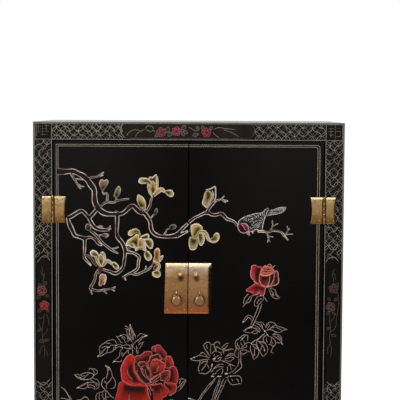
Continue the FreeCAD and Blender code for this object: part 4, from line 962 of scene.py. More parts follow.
# Limbs are "x,y,half width"; a patch is "colour, how far its heart spreads | outline | heart", and a blade is
# "colour, width | line | how it swells"
leftBranch = {
    "boughs": strokesOf("""
        57.6,171.2,3.3 63,171.8,2.6 68,171.4,2.2 73.4,171.4,2.5 78,173.4,2.4 82.8,175.8,2.6 87,179.6,2.6
        91,185,2.6 94.2,190,2.3 94.4,195.5,2.2 95,202,2.7 97.5,207.2,2.3 101,211,2.4 106,213.6,2.3
        112,214.2,2 117,214.2,1.8 122.4,213.4,1.6 126.6,210.2,1.8 130,206.8,1.9 133.2,206,1.9
        136.6,209.2,2.1 140.6,212.6,1.9 144.5,213.2,1.8 147.6,217.2,1.7 150.2,222,1.6 151,228.4,1.6
        153,232.4,1.5 157,235.2,1.5 162,236.3,1.5 170,236.4,1.8 178,235,2.2 | 176.4,234.8,1.9
        180.5,230.8,1.5 185,226.2,1.2 187.8,223.6,1.2 | 176.4,236,1.8 181,234.2,1.4 185,232.4,1
        187.8,231.2,0.8 | 117.2,215,1.7 117,225,1.6 116.8,234,1.6 118.6,238.2,1.9 122.4,243,2 125,248.6,1.9
        125.2,253.4,1.4 124.4,260,1.3 123,267,1.4 119.8,271.2,1.5 115.4,273.4,1.3 110.4,271.8,1.2
        104.6,270,1 100.8,269.2,0.6 | 126,251.6,1.3 133.8,253.2,1.2 139,257,1.2 138.3,263,1.1
        137.6,268.4,1.2 133.4,271.8,1 127.4,274.6,0.8 123.6,277.2,0.5 | 67.8,217.8,1.5 72,216,1.6
        76,213.4,1.7 80,211.2,1.6 82.8,211.2,1.5 85.8,214.2,1.5 88.8,217.8,1.5 | 97,209,1.6 93.4,213.4,1.5
        89.4,217.8,1.4 | 88.2,216.6,1.4 90.8,221.6,1.5 93.4,225.8,1.5 97,228.6,1.4 101.4,229.6,1.5
        106,230,1.1 109.6,230.2,0.5 | 67.6,217.4,1.2 69.4,224,1.9 72.2,230,2 74.8,235.2,1.7 79,236.8,1.5
        84.4,238.2,1.8 90.4,237.4,1 95,239.4,1.1 98.4,243.4,1.2 102.2,244.8,0.9 | 84.8,239.4,1.5
        84.6,249,1.1 84.2,257.2,1.1 86.6,260.6,0.9 91.2,265.6,0.4
    """),
    "twigs": strokesOf("""
        71,173.4,0.8 74.9,180.1,0.7 77.8,184.9,0.6 80.8,189,0.3 | 78.2,184.4,0.5 81,186,0.5 84.2,186.8,0.3 |
        74.4,179.6,0.5 78,178.9,0.5 82.8,179.8,0.4 | 88.6,178.6,0.8 92.6,177.2,0.7 96.4,177,0.6
        100.2,174.8,0.6 103.8,172.2,0.3 | 99.4,176.4,0.4 101.6,175.6,0.4 103.4,175.4,0.3 | 99.4,208,0.8
        102.6,204.6,0.8 106.9,202.1,0.8 113.6,202.4,0.7 117,200.6,0.8 123,199.6,0.7 129,198.8,0.4 |
        106.8,202.1,0.7 107.4,197.8,0.7 107.2,194,0.6 105.6,193.2,0.6 103.8,194.2,0.6 102.2,191.4,0.5 |
        115,201.6,0.5 116.4,199.6,0.5 116.2,197.4,0.4 | 140.6,211.6,0.7 142.6,209.8,0.7 143.6,208.2,0.6 |
        145.4,211.6,1 148,209.2,1 150.2,204.8,0.9 150.8,201,0.8 152.3,196,0.7 | 142.6,212.4,0.6
        144.4,210.4,0.5 146,208.8,0.4 | 150,219,0.6 152,216.8,0.5 153.8,214.2,0.4 | 164.4,235,0.7
        166,231.6,0.6 167.4,229,0.5 170,228.4,0.4 | 90,230.8,0.8 93,232.6,1 98,237.2,1 102.2,242.6,1
        105.6,245.4,0.9 110.8,249.4,0.8 113.6,251.2,0.7 118.2,253.4,0.3 | 110.6,249.2,0.5 115,248.4,0.5
        118.6,247,0.3 | 97.6,236.4,0.5 99.6,235.4,0.5 101.8,235,0.4 | 105.4,229.6,0.5 108,228.4,0.5
        110.6,225.8,0.3 | 107.4,228.8,0.4 111.4,228.8,0.3 | 97,227,0.4 100,226,0.4 102.6,226.6,0.3 |
        99,269.8,1 96,273.6,1 94.8,279.6,0.9 92.6,284,1 90.2,288,1 | 89.4,287.4,0.9 93.6,290,0.9
        98.6,290.8,0.8 102.4,290,0.7 109,289,0.6 114.8,288.4,0.3 | 90.6,288.4,0.8 91,291.4,0.6
        92.2,294.6,0.3 | 102.6,289.8,0.6 104.6,291.6,0.5 107,293.8,0.3 | 110,288.8,0.5 113,288,0.5
        115.6,286.8,0.3 | 111,289,0.4 114.8,291,0.3 | 131,272.8,0.8 134.6,274.2,0.9 138.2,274,0.9
        143.6,271.6,0.9 148.4,269.4,0.8 152,265.6,0.5 | 145.4,270.4,0.5 146,268,0.5 146.2,266,0.3 |
        124.6,276.9,0.5 122,276.6,0.3 | 124.2,277,0.5 125,278.8,0.5 125.8,280.6,0.3 | 113.6,212.8,0.5
        115.4,211.6,0.6 117.6,212.2,0.6 118.4,213.6,0.5
    """),
    "dimTwigs": strokesOf("""
        85.2,255.8,0.8 87.6,255.6,0.9 90.6,257.8,0.9 93.8,262.6,0.8 97.2,266.2,0.5 | 127.4,249.4,0.6
        130.6,247.2,0.6 133.8,245.4,0.5 | 152,265.4,0.5 153.2,262.6,0.5 153.6,259.8,0.5
    """),
    "patches": petalsOf("""
        grey 0.2 | 101.4,179.3 99.4,181.6 99.2,184.6 100.6,188.4 102.4,191.4 104.2,190 105.8,187.2
        107.7,184.2 108.5,181.4 106.8,179 104.6,180.3 | 102.8,189 ; grey 0.5 | 118.9,185.8 116.4,188.4
        115,191 113.4,195.8 115.6,197.9 118,197 119.9,194 120.9,189.2 | 116,196 ; yellow 0.1 | 137.8,194.6
        136.8,199 137.6,203 139.4,206.4 141,208.6 143,208 145,208.4 146.2,206 145.4,201 143,197 140.4,195.4
        | 139.4,203.6 140.4,206.4 143,206.6 ; mauve 0.4 | 148.4,178.6 150,176.6 152.4,176.8 154,175.4
        155.6,174.4 157,175 157,180 157.6,184 155.4,183.6 153,182 150.8,182.6 149.4,180 | 151.2,180
        154.4,180.4 ; pale 0.1 | 138.4,181 139.4,178.6 142,177.6 146,177.8 149,179 150.6,181 151.4,184
        150,186.4 148.4,184.6 147.4,183.6 144,183.9 140.8,183.8 138.9,182.6 | 145.6,181 150,182.6 ; gold
        0.35 | 152.6,180 154.4,182 155.8,186 156.4,190 155,193.6 153,195.4 151.2,193 150,189 150.2,185
        151.2,182 | 153,190.8 153,194 ; olive 0.15 | 164.8,190.4 167,190 169.6,189.6 172,190.2 173.6,192.4
        173.9,194.6 172.8,196.6 170.6,197 168.2,196.2 166,194 164.4,192.4 | 165.8,191.6 168,193 ; dim 0.4 |
        156.4,208 154.2,211.2 153.2,215.4 156.4,214.8 158,210.4 | 154.8,213.6 ; dim 0.4 | 168.8,227.4
        170.6,225.2 173.2,224.3 176.5,225.5 175.4,228.7 171.2,229.8 | 170.8,228.2 ; dim 0.4 | 86.8,223.8
        85,226.2 85.6,229.2 88.4,231 91,229.8 91,226.2 89.2,224 | 88.6,229 ; grey 0.5 | 101.2,235.2
        103.4,233.6 106,233.2 109,234.7 107,237.5 103.6,236.8 | 102.6,235.4 ; yellow 0.25 | 128,233.4
        128.8,231 131.4,229.6 135.2,228.2 138,229.2 139.8,231 140.6,234.4 139.6,235.6 138.4,233.6 136.4,233
        134,234 132,235.6 129.8,236 128.2,235 | 136.4,231.4 138.8,232.4 ; olive 0.2 | 140.4,238 141,235.8
        143.4,235 145.4,234 147.4,233.6 149.2,235 149.2,238 147,239.6 144.6,240 142,239.8 | 142.2,238
        146.6,236.8 ; yellow 0.2 | 126,244 127,241 130,238.6 133.4,236.6 135.6,234.6 137.6,234.2 139,235.6
        139.2,238.6 138.8,242 138.6,246 137.4,248.4 134,248.2 133.2,245.4 131.4,244.2 129,245.8 127,246 |
        133.4,241.6 136.4,241.6 136.8,244.4 ; cream 0.1 | 138.8,238.6 141.6,237.8 144.4,239 145.4,242
        145.8,246 146,249.6 144.6,250.6 142.4,248.8 140,248.8 138.2,247 138.4,243 | 139.2,244.6 ; olive 0.15
        | 145.4,241 147,239 149.6,238.4 152,239.6 153.3,242.6 153.2,246 152.2,248.6 149.8,248.8 147.4,247
        145.6,244.6 145,242.6 | 146.6,241.4 148.2,243.6 149.6,245 ; white 0.1 | 135.4,248.4 138,247.4
        141,247.6 144,247.8 146.4,249 146,251 144.4,251 141.6,249.6 138.2,249.6 136.6,251 135.2,250.6 |
        140.6,248.2 ; olive 0.15 | 144.2,253 145.6,251 148,250.8 150.4,253 152,256 151.4,259 149,260.9
        147,260.4 144.8,258 144,255.4 | 146,252.8 147.4,255.2 ; pale 0.2 | 90,252.6 91,250.6 93.2,250
        96,250.8 98,252.8 99,255 97.6,257 95.2,257.2 92.6,256.6 90.6,255 | 94.2,254.4 97,255.6 ; gold 0.2 |
        98.4,256 99.8,254 102.6,255 103.8,258.6 103.8,262 102.4,265.6 101,266.8 99.2,264 98,260 | 100.8,262
        101,265.4 ; rust 0.4 | 98.4,267 101.6,266.4 103,268.4 101.6,270.6 100,273 98.8,274.6 98,272.6
        98.6,269.6 | 100.6,268.6 ; peach 0.15 | 99.4,276 101.4,273.8 103.6,273.8 104.6,276.6 104.4,280.6
        103,283.6 101.4,286 99.2,285.8 98.4,283.6 99.4,280 | 101.2,283 ; olive 0.15 | 111.6,262.6
        113.4,261.6 115.6,262.4 117.8,264.4 119,266.6 118.6,268.8 116.8,269.6 114.6,268.6 112.6,266.2 |
        113.4,264 115.2,265.6 ; peach 0.15 | 154.2,256 154,251.6 155.6,248.8 157.6,247.8 159.6,249.4
        160.2,253 159.8,257 160,261 158.6,264 155.6,263 153.4,261.6 153.4,258.4 | 156.4,253.6 156.2,256.4 ;
        white 0.1 | 160,259.6 159.8,257 161.8,255.6 163.4,255.2 163,258 161.2,261 159.8,262 | 160.6,259 ;
        rust 0.5 | 154.6,265.8 157,265.2 157.4,267.8 155.6,269.8 153.4,269.4 153.4,267.2 | 155.4,267.6 ;
        yellow 0.1 | 152,273.6 152.6,271.4 155,270.6 158,269.8 160,271 160.8,273.6 160.2,276.4 157.6,277.8
        154.6,277 152.6,275.6 | 155.6,272 157.6,272.2
    """),
    "blades": petalsOf("""
        cream 2.4 | 147.8,184 148.6,188 149.6,192 151.8,196 | 0.6,1,1,0.9,0.5 ; cream 2.2 | 157,176.4
        157.4,181 157.3,186 156.6,190.6 153.6,195.6 | 0.7,1,1,0.9,0.5 ; cream 4.8 | 153.4,195.6 156.4,192.8
        159.6,190.2 162.4,189.8 164.8,192.2 | 0.6,0.85,1,0.95,0.4 ; yellow 3 | 95.4,257 97,260.4 98.8,263.6
        101,266.6 | 0.6,0.9,1,0.9,0.6 ; white 2.2 | 100.4,253.6 102.4,252.2 104.4,254.6 104.8,259 104,263
        102.2,266.6 | 0.6,0.9,1,1,0.6 ; white 3.6 | 102.8,265.8 105,262.6 107.4,261 109.8,261.8 112,264.6 |
        0.7,1,1,0.9,0.5 ; white 1.7 | 104.8,274 105.8,277 105.4,281 103.8,285 | 0.5,0.9,1,0.8,0.4 ; cream
        2.8 | 155,263 158,263.6 159.4,266 158.4,268.8 156,270.6 | 0.7,1,1,0.9,0.6 ; white 1.2 | 128.6,244.6
        131,246.4 134,247.6 | 0.4,1,1,0.8,0.4
    """),
}


def addBranches(art, plan):
    looks = {"boughs": branchLook, "twigs": twigLook, "thinTwigs": thinLook, "dimTwigs": dimLook}
    for key, look in looks.items():
        for limb in plan.get(key, []):
            addBough(art, limb, look)


def addBlossoms(art, plan):
    for k, (outline, heart, tint, deep) in enumerate(plan["patches"]):
        colours = toned(petals[tint], petalTone, petalRimTone)
        addPatch(art, outline, heart, colours, petalLook["lift"] + petalLook["rise"] * k,
                 rim=petalLook["rim"], veins=petalLook["veins"], deep=deep + petalLook["deep"])
    for points, (swell,), tint, width in plan["blades"]:
        colours = toned(petals[tint], petalTone, petalRimTone)
        addBlade(art, points, width, colours, petalLook["bladeLift"], swell, petalLook["bladeRim"])


branches = newOrnament()
addBranches(branches, leftBranch)
finishOrnament(branches, "left_door_branches", "left_door", paint)
blossoms = newOrnament()
addBlossoms(blossoms, leftBranch)
finishOrnament(blossoms, "left_door_blossoms", "left_door", paint)
print("left door branches painted")

# A petal of a large flower: "rim, body and heart colours, how far the heart spreads | outline | heart"
peony = petalsOf("""
    190,112,116 156,34,50 64,8,10 0.3 | 151.4,349.2 152.1,346.6 155.2,345.8 157.6,344.4 160,344.9
    161.9,347.3 164.3,350.2 166.7,353 166.7,355.9 165.3,357.8 164.8,360.2 161.9,359.8 160.5,355.9 158.1,353
    155.2,352.1 152.8,351.1 | 161,354.6 163.4,358.2 ; 194,112,106 128,38,38 58,12,8 0.2 | 134.3,357.8
    137,355.4 140.3,355 142.7,353 145.1,351.4 148.5,351.1 151.8,351.6 152,355 150,358 149,361.5 146,364
    140,364.5 136,366 | 137.6,362 143,360.4 149,358.6 ; 204,114,110 172,42,44 84,22,12 0.4 | 166.2,356.4
    168.2,355.9 170.6,355.9 172,358.3 173.7,362.6 173.9,365 172,366 169.1,368.2 165.3,367.9 165,362.6
    165.5,359.8 | 166.8,364.6 168.6,366.4 ; 190,110,108 150,38,44 66,8,6 0.4 | 168.6,369.4 169.6,367.9
    172,366 174.4,366 176.3,367.9 177.8,371.8 178.5,376.6 177.8,380.4 176.8,383.8 173.9,383 170.1,382.8
    166.7,381.8 168.2,379.4 169.6,375.6 170,371.8 | 171.2,370.6 171.2,376 170,381 ; 194,112,106 156,40,42
    44,8,6 0.3 | 164.3,381.8 167.2,382.8 170.1,383.3 173.9,383.5 176.3,384.2 176.8,388.1 176.3,391.4
    173.9,393.8 170.6,395.8 168.6,394.8 169.1,390.5 166.2,388.1 163.8,385.2 | 165.8,384.4 168.4,387.4 ;
    196,110,92 172,44,34 44,16,6 0.25 | 150.4,384.7 155.2,384.2 159,383.3 161.9,383.3 163.8,386.2
    166.2,388.1 169.1,390.5 167.7,393.8 165.8,396.7 162.4,398.6 162.4,405 158,409.4 153.6,405 154.4,397
    153.8,392.4 151.4,390.5 149.9,388.1 | 152,386.8 156,386.6 160.8,385.4 ; 200,104,96 180,40,28 40,10,6
    0.04 | 119.6,382.4 118.5,384.2 117.8,388.1 116.8,392.9 115.6,397.2 114.9,401 116.4,408 122.6,414.4
    131.6,416.6 141.4,413 148.4,407.6 150.4,401 149.9,397.2 148.5,394.3 147.8,390 147.5,385.4 139.6,384
    130,384 124,381.4 | 126,386 134,387.4 144,388 ; 206,124,122 190,38,36 42,22,12 0.42 | 130,354
    132.2,354.2 134.1,356.9 134.6,359.8 134.3,365 135,370.3 137.4,374.6 139.8,379 142.7,382.3 145.6,384.2
    146.6,385.4 142.7,385.4 138.9,385 135.5,385.7 131.2,385.4 127.8,384.2 125,382.3 121.8,379.9 121.1,375.1
    120.4,368.9 121.4,365.5 123,361.7 125.4,357.8 127.8,355.4 | 131.4,370.2 132.6,374 136.4,380.4 ;
    140,78,72 54,12,10 32,8,6 0.4 | 134.6,362 137,362.6 141,364 146,364 150,366 151.4,374 152,381
    147.4,384.8 142.7,382.3 139.8,379 137.4,374.6 135,370.3 134.3,366 | 142,370 145,378 ; 204,128,114
    104,30,22 62,14,8 0.4 | 147,363.4 149,360.5 149.7,356.9 151.8,355.2 154.7,354.7 157.6,353.3 159.5,354.5
    160.5,356.9 161.9,359.8 158,361 154,362 151,365 149.4,369 | 150.6,363 153.6,358.6 158.6,357 ;
    200,110,106 158,34,44 48,6,6 0.25 | 151.8,360.7 154.2,358.8 156.6,358.3 159.5,359.8 162.4,361.7
    164.8,363.1 165,367.4 163.8,370.8 160,373.9 156,376.4 152.6,376.8 150.8,372 150.2,366 | 152.4,374.6
    156.4,374 ; 176,82,80 142,38,42 70,10,12 0.2 | 150.4,370 150.4,365 151.8,363.1 155.2,362.6 158.1,363.6
    158.4,367 157.2,370 157.4,372.4 153,373 151,372 | 152.4,372 155.6,371.6 ; 194,116,104 120,38,34 68,16,14
    0.25 | 160,373.7 163.4,370.8 166.2,370.1 169.1,370.3 169.8,372.7 169.1,375.6 167.2,379 164.8,381.6
    162.4,380.4 160,380.4 160.5,376.6 | 162.4,378.4 163.6,376 ; 196,134,128 136,74,72 104,52,52 0.1 |
    140.3,367.9 142.7,368.9 144.6,373.7 147.5,377 150.4,379.4 151.8,380.9 148.5,379.9 145.6,377.5
    142.7,374.6 141.3,371.3 | 143.4,371.6 147,377.4 ; 196,132,124 138,70,70 92,40,42 0.2 | 149.9,380.4
    152.8,377.5 156.6,375.1 160,373.2 160.5,376.1 157.1,379 154.2,381.4 150.4,382.8 | 152.6,380.6
    158.6,375.8 ; 212,142,120 112,44,34 60,16,12 0.3 | 137.7,364.6 138.2,362.6 140.3,361.4 144.6,361.4
    145.1,362.6 146.6,363.1 148.5,364.1 149,367.9 149.9,371.3 148.5,369.8 146.6,367.4 145.1,365 143.2,366.5
    140.8,367.4 139.4,366.5 | 141,365.4 145.4,364.2
""")
peonyFolds = strokesOf("""
    155.2,347.3 155.4,349.5 155.7,351.6 | 158.1,366 159,367 157.1,368.9 157.6,371.8 | 158.6,366.4 158,369
    158.2,371 | 137.4,369.4 137,372.7 138.9,376.6 141.8,380.4 145.1,383.3 147.5,384.2 | 145.1,368.9
    145.6,372.7 148,377.5 150.4,379.9 | 150.4,370.8 150.2,375.6 150.4,379.9 | 147.5,385.4 151.8,384.2
    155.7,381.8 159.5,379.9 | 145.6,383.8 149.9,382.8 152,381.4 | 151.8,385.4 154.7,384.7 156.6,382.8 |
    127.4,368.9 127.8,373.2 129.8,377 133.1,379 | 147.5,385.4 147.8,390 148.5,394.3 150.2,400 | 146.6,386
    149.4,390 151,396 | 160,380.4 162.9,380.6 167.2,382.8 | 153.6,360.6 157,359.6 160.4,361.2 | 152,365.6
    155,364.4 | 146.6,364 147.6,367.6 149.6,371.6 | 138.6,365.6 141.6,367.6 143.6,370.6 | 129.6,394 129,399
    130.4,405
""")
peonyLook = {
    "tone": (0.84, 0.52, 0.38), "rimTone": (0.97, 0.86, 0.8), "lift": 0.0003, "rise": 0.00006, "rim": 0.62,
    "evenRim": 0.6, "veins": 4, "foldPixels": 0.6, "foldLift": 0.0014,
    "fold": ink(204, 136, 126), "foldDark": ink(140, 74, 68),
}


def addFlower(art, flower, folds, look):  # petals laid over each other, then the light folds
    for k, (outline, heart, colours, deep) in enumerate(flower):
        colours = toned(inksOf(colours), look["tone"], look["rimTone"])
        addPatch(art, outline, heart, colours, look["lift"] + look["rise"] * k, look["rim"], look["veins"],
                 deep, look["evenRim"])
    addStrokes(art, folds, look["foldPixels"], look["fold"], look["foldDark"], look["foldLift"])


art = newOrnament()
addFlower(art, peony, peonyFolds, peonyLook)
finishOrnament(art, "left_door_peony", "left_door", paint)

leafInks = inksOf("180,162,146 176,148,134 158,140,132")
leafLook = {"dark": ink(102, 84, 74), "glint": ink(208, 198, 186), "glintPixels": 0.95, "glintLift": 0.00032}


def addLeafLines(art, strokes, width):  # leaves drawn in thin lines, each stroke in its own tint
    for stroke in strokes:
        wide = width * dot * dice.uniform(0.85, 1.15)
        addStroke(art, onFace(stroke), wide, dice.choice(leafInks), other=leafLook["dark"])


def addGlints(art, strokes):  # short thick touches of light paint
    addStrokes(art, strokes, leafLook["glintPixels"], leafLook["glint"], leafInks[0], leafLook["glintLift"])


leftLeaves = strokesOf("""
    99.8,354 99.4,350.9 99.4,347.8 101,345.5 103.3,343.6 105.6,342.4 107.1,341.1 109.9,340.1 112.6,339.7
    114.9,340.5 116.2,342.4 116.8,344 | 97.1,356.3 101,356 104.1,354.4 106.8,352.9 109.5,352.5 112.2,351.5
    114.5,349.8 116.4,347.8 118.7,346.7 121.1,347.1 122.6,348.2 | 100.6,354 102.5,352.1 104.4,349.4
    107.1,347.5 110.2,346.3 111,345.1 114.1,345.1 116.4,345.5 118,344.4 120.7,344.4 121.7,346.3 | 106,343.2
    110.6,343.4 | 101.4,348.2 104.1,346.7 106.8,346.3 108.3,346.7 | 107.5,347.8 107.5,350.2 106.8,352.5 |
    114.1,345.9 113.7,348.6 112.6,350.9 | 115.7,346.7 115.3,349.4 | 100.6,352.1 101.7,350.9 | 97.1,356.3
    99.6,354.8 101,352.6 | 116.2,336 118.7,336.6 121.1,335.5 123.4,334.3 125.7,335.1 127.3,336.6 127.6,338.2
    126.9,340.9 | 116.4,336.2 118,338.2 119.5,340.1 120.7,342 122.6,343.2 | 120.7,337.4 123,338.2
    124.5,339.7 124.9,341.7 126.5,343.6 | 121.8,336.2 124.2,337 124.9,338.6 | 124.9,325.8 126.9,326.6
    128,327.7 128.8,330 | 124.4,328.5 126.5,328.7 127.4,329.5 | 126.5,329.7 126.9,332.8 127.6,335.5
    128.8,338.2 128.8,340.9 | 128.8,328.5 129.2,331.6 130,334.7 130.7,337.8 131.5,341.7 | 130.3,324.3
    130,326.6 129.6,329.3 129.4,332.8 128.8,336.6 | 130.3,324.3 131.3,327.7 132.7,330.4 134.2,333.5
    135.4,336.2 135.6,338.6 | 130.5,327 131.1,330.8 131.9,334.3 132.7,337.8 133.1,340.9 | 131.5,329.7
    133.1,333.5 134.2,336.6 | 128,336.2 130.3,339.3 132.3,342.4 | 127.3,341.7 129.6,340.1 131.9,337 |
    132.7,335.5 133.8,338.6 133.1,340.5 | 148.1,335.5 144.7,334.9 142.3,333.9 140.4,333.7 138.5,335.1
    137.3,337 | 148.1,335.5 145,336.6 142.7,337.8 141.6,339.3 139.6,340.9 138.1,343.2 | 143.9,336.2
    141.6,337 139.6,338.6 137.7,340.5 135.8,341.3 | 143.9,342 142,342.4 140,343.6 138.5,345.5 | 143.1,342.8
    141.6,345.1 140,347.8 138.5,349 | 136.9,340.1 135.4,342 133.8,343.6 132.7,345.5 132.3,347.5 |
    132.7,346.3 134.6,348.6 136.2,349.4 | 136.2,345.5 136.9,347.8 136.5,350.2 136.9,353.6 | 138.1,350.2
    137.7,354 | 120.3,344.7 123.4,345.5 126.1,344.7 128.8,345.1 130.3,346.7 130.7,348.2 | 123.8,347.1
    126.5,348.4 129.2,348.4 130.7,348.4 | 128.8,349.4 128.4,352.1 128.4,354 | 131.4,344 132.4,350 133,353.6
    | 112.4,362.7 114.1,361 116.4,359.1 118.7,357.1 119.9,354.8 119.5,352.9 120.7,350.5 122.6,348.6 |
    112.9,361.8 114.9,361.4 117.6,361.6 120.7,361.6 121.8,359.4 | 122.2,357.1 123.4,355.2 124.9,353.3
    126.9,351.3 128.4,349.8 | 120.6,353.8 122.4,353 123,354.4 121,355.6 | 74.1,374.4 77.3,374.4 79.9,375.1
    82.5,373.8 85.4,372.9 87.6,372.5 90.1,372.7 92.3,373.6 94,374.9 | 74.1,374.4 76.1,376.3 78.6,378.3
    81.2,379.3 83.7,379.8 86.7,379.5 89.7,379.1 91.8,378.1 93.8,375.5 | 88.9,369.9 89.7,368.7 91.2,368.5
    92.7,369.5 94,371.7 94,374.2 | 92.3,368.7 94.8,368.7 96.5,370.4 97.6,372.1 96.5,373.8 94.4,375.1 |
    79.9,378.1 83.3,378.9 85.4,376.8 87.6,374.6 90.1,372.9 | 78.2,376.8 81.6,378.1 | 80.7,375.1 82.5,376.3
    85,375.5 | 76.1,388.3 78.2,387 81.6,385.3 85,383.6 87.6,382.3 88.4,383.6 | 76.1,388.3 79,387.9
    81.6,388.5 84.6,388.5 86.7,387.4 88,385.7 90.1,384.9 92.7,385.3 94.4,386.6 | 91.8,377.2 94.8,378.9
    97,379.3 98.7,381.9 99.3,384.5 98.7,387 96.5,388.7 93.5,388.5 91.4,387.4 | 88,382.7 91.4,382.3
    94.4,382.7 97.8,384 98.7,384.9 | 90.1,380.2 92.7,381 94.8,382.7 | 87.6,387.4 91,387.4 | 87.6,383.6
    87.4,386.2 | 80.7,386.6 83.7,384.9 86.7,383.2 | 95.2,384.5 97,385.3 96.1,387 | 105.1,365.5 107.2,365.9
    109.3,367.4 111,370.4 111.9,373.4 112.3,376.3 114.4,379.3 115.5,381.9 115.5,384.9 114.4,387.4
    112.3,388.5 110.2,388.7 | 105.1,365.5 107.2,367.4 107.8,370.4 107.6,373.8 106.8,376.3 106.3,378.9 |
    105.1,377.6 102.9,379.3 101.9,381.9 101.4,384.5 102.5,387 104.6,388.7 105.5,390 | 111.9,377.2 109.8,381
    107.2,383.6 106.3,386.2 106.8,389.1 | 104.2,381 106.3,383.6 | 108.9,367.4 108.5,370.8 | 106.6,366.2
    109,368.4 110.6,371 | 105.1,389.6 105.9,392.1 105.5,395.5 106.4,402 | 106.3,390.4 108.9,393.8 111,396
    114,398.5 | 105.1,390 102.5,391.7 99.9,392.3 97,393.8 95.9,396.8 96.1,400 96.4,405 | 101.6,392.1
    103.4,395.1 | 99.5,393.4 99.3,398.5 101.6,407 | 103.8,399 106.3,397.2 109.8,396.8 | 101.8,395
    103.8,399.6 103.4,404 | 60.7,387 63.7,388.7 66.2,391.7 68.4,395.1 70.9,398.5 72.4,407 | 64.1,389.6
    67.1,393.4 69.2,397.7 72.4,407 | 60.7,398.3 64.1,398.3 67.1,399.4 71,399 | 76.9,399.8 80.3,399.6
    82.9,398.1 85,396.8 87.1,397.7 88.4,399.5 90.2,405.4 | 77.2,399.5 79.6,404 84.6,406.6 90.2,405.4 |
    78.6,400.6 84.4,402.4 90.2,405.4 | 178.6,379.8 182.4,378.9 185.9,380.4 184.4,383.4 181.4,388 178.4,391 |
    184.8,380.6 180.6,384.6 177.4,388 | 180.6,380.4 179.2,384 | 182.4,384.6 180,387.6
""")
leftGlints = strokesOf("""
    97.2,356.4 98.8,356.2 | 115,345.6 117,345.3 | 120,335.6 122,335.4 | 127,329.4 127.8,329.6 | 144,336.2
    147.4,335.5 | 113.2,361.6 115.2,361.4 | 76.2,376.2 77.2,376.7 | 93.4,374.8 94.4,375.4 | 77.6,387.8
    79.6,387.4 | 105.2,365.5 106.2,365.9 | 87.2,382.2 88.2,382.8 | 94,386.4 94.8,386.9 | 130,324.4 130.3,326
    | 107.4,348 109.8,346.6 | 121.8,346.6 122.6,348.4 | 129,348.5 130.6,348.4 | 108.4,367 109.4,368.2
""")
lowerLeft = {
    "boughs": strokesOf("""
        136,415,1.2 134.6,424,1.3 131,434,1.4 128.6,446,1.6 129.4,458,1.8 127,470,2.1 124,482,2.6 |
        105.4,400,0.8 108,410,0.9 114,420,1 121,428,1.1 127.6,438,1.2 129,448,1.3 | 158,408,0.8 155,418,0.9
        148,428,1 139,438,1.1 131.4,448,1.2
    """),
    "leaves": strokesOf("""
        94,428 110,417 0.2 | 90,416 103,410 0.22 | 104,442 117,426 0.2 | 146,446 133,436 0.22 | 170,420
        156,416 0.2 | 172,434 152,425 0.18 | 164,448 146,432 0.18 | 112,456 127,446 0.2 | 148,462 130,456
        0.2 | 76,424 90,406 0.18 | 84,440 97,424 0.2 | 179,404 166,402 0.22 | 110,472 127,462 0.18
    """),
    "rocks": strokesOf("""
        66,489 70,478 78,474 84,466 93,468 99,476 108,474 116,480 122,488 | 84,466 88,474 86,482 90,489 |
        99,476 98,484 102,489 | 78,474 77,482 80,488 | 128,488 134,478 143,476 150,470 159,473 165,481
        174,480 181,488 | 150,470 149,480 154,488 | 165,481 163,488 | 143,476 142,484
    """),
    "grass": strokesOf("""
        122,488 119,476 112,466 | 123,488 121,474 120,464 | 125,488 128,476 134,468 | 166,488 170,474
        176,466 | 168,488 174,478 182,474 | 70,488 66,476 62,470
    """),
}


linePixels = {"branchLeaf": 0.56, "lowLeaf": 0.58, "rib": 0.5, "rock": 0.8, "grass": 0.6}
ribLook = {"starts": (0.3, 0.5, 0.7), "ahead": 0.14, "spread": 0.7}  # shares of the leaf's length and bulge


def addLowPlant(art, plan):
    for limb in plan["boughs"]:
        addBough(art, limb, twigLook)
    spread = ribLook["spread"]
    for tip, root, (bulge,) in plan["leaves"]:
        addLeaf(art, tip, root, bulge, linePixels["lowLeaf"], leafInks[0])
        alongX, alongY = tip[0] - root[0], tip[1] - root[1]
        across = (-alongY * bulge * spread, alongX * bulge * spread)
        for t in ribLook["starts"]:
            end = t + ribLook["ahead"]
            base = (root[0] + alongX * t, root[1] + alongY * t)
            ahead = (root[0] + alongX * end, root[1] + alongY * end)
            ribs = [[base, (ahead[0] + across[0] * side, ahead[1] + across[1] * side)] for side in (-1, 1)]
            addStrokes(art, ribs, linePixels["rib"], inks["dimSilver"])
    addLeafLines(art, plan["rocks"], linePixels["rock"])
    addLeafLines(art, plan["grass"], linePixels["grass"])


art = newOrnament()
addLeafLines(art, leftLeaves, linePixels["branchLeaf"])
addGlints(art, leftGlints)
addLowPlant(art, lowerLeft)
finishOrnament(art, "left_door_leaves", "left_door", paint)
print("left door flowers painted")

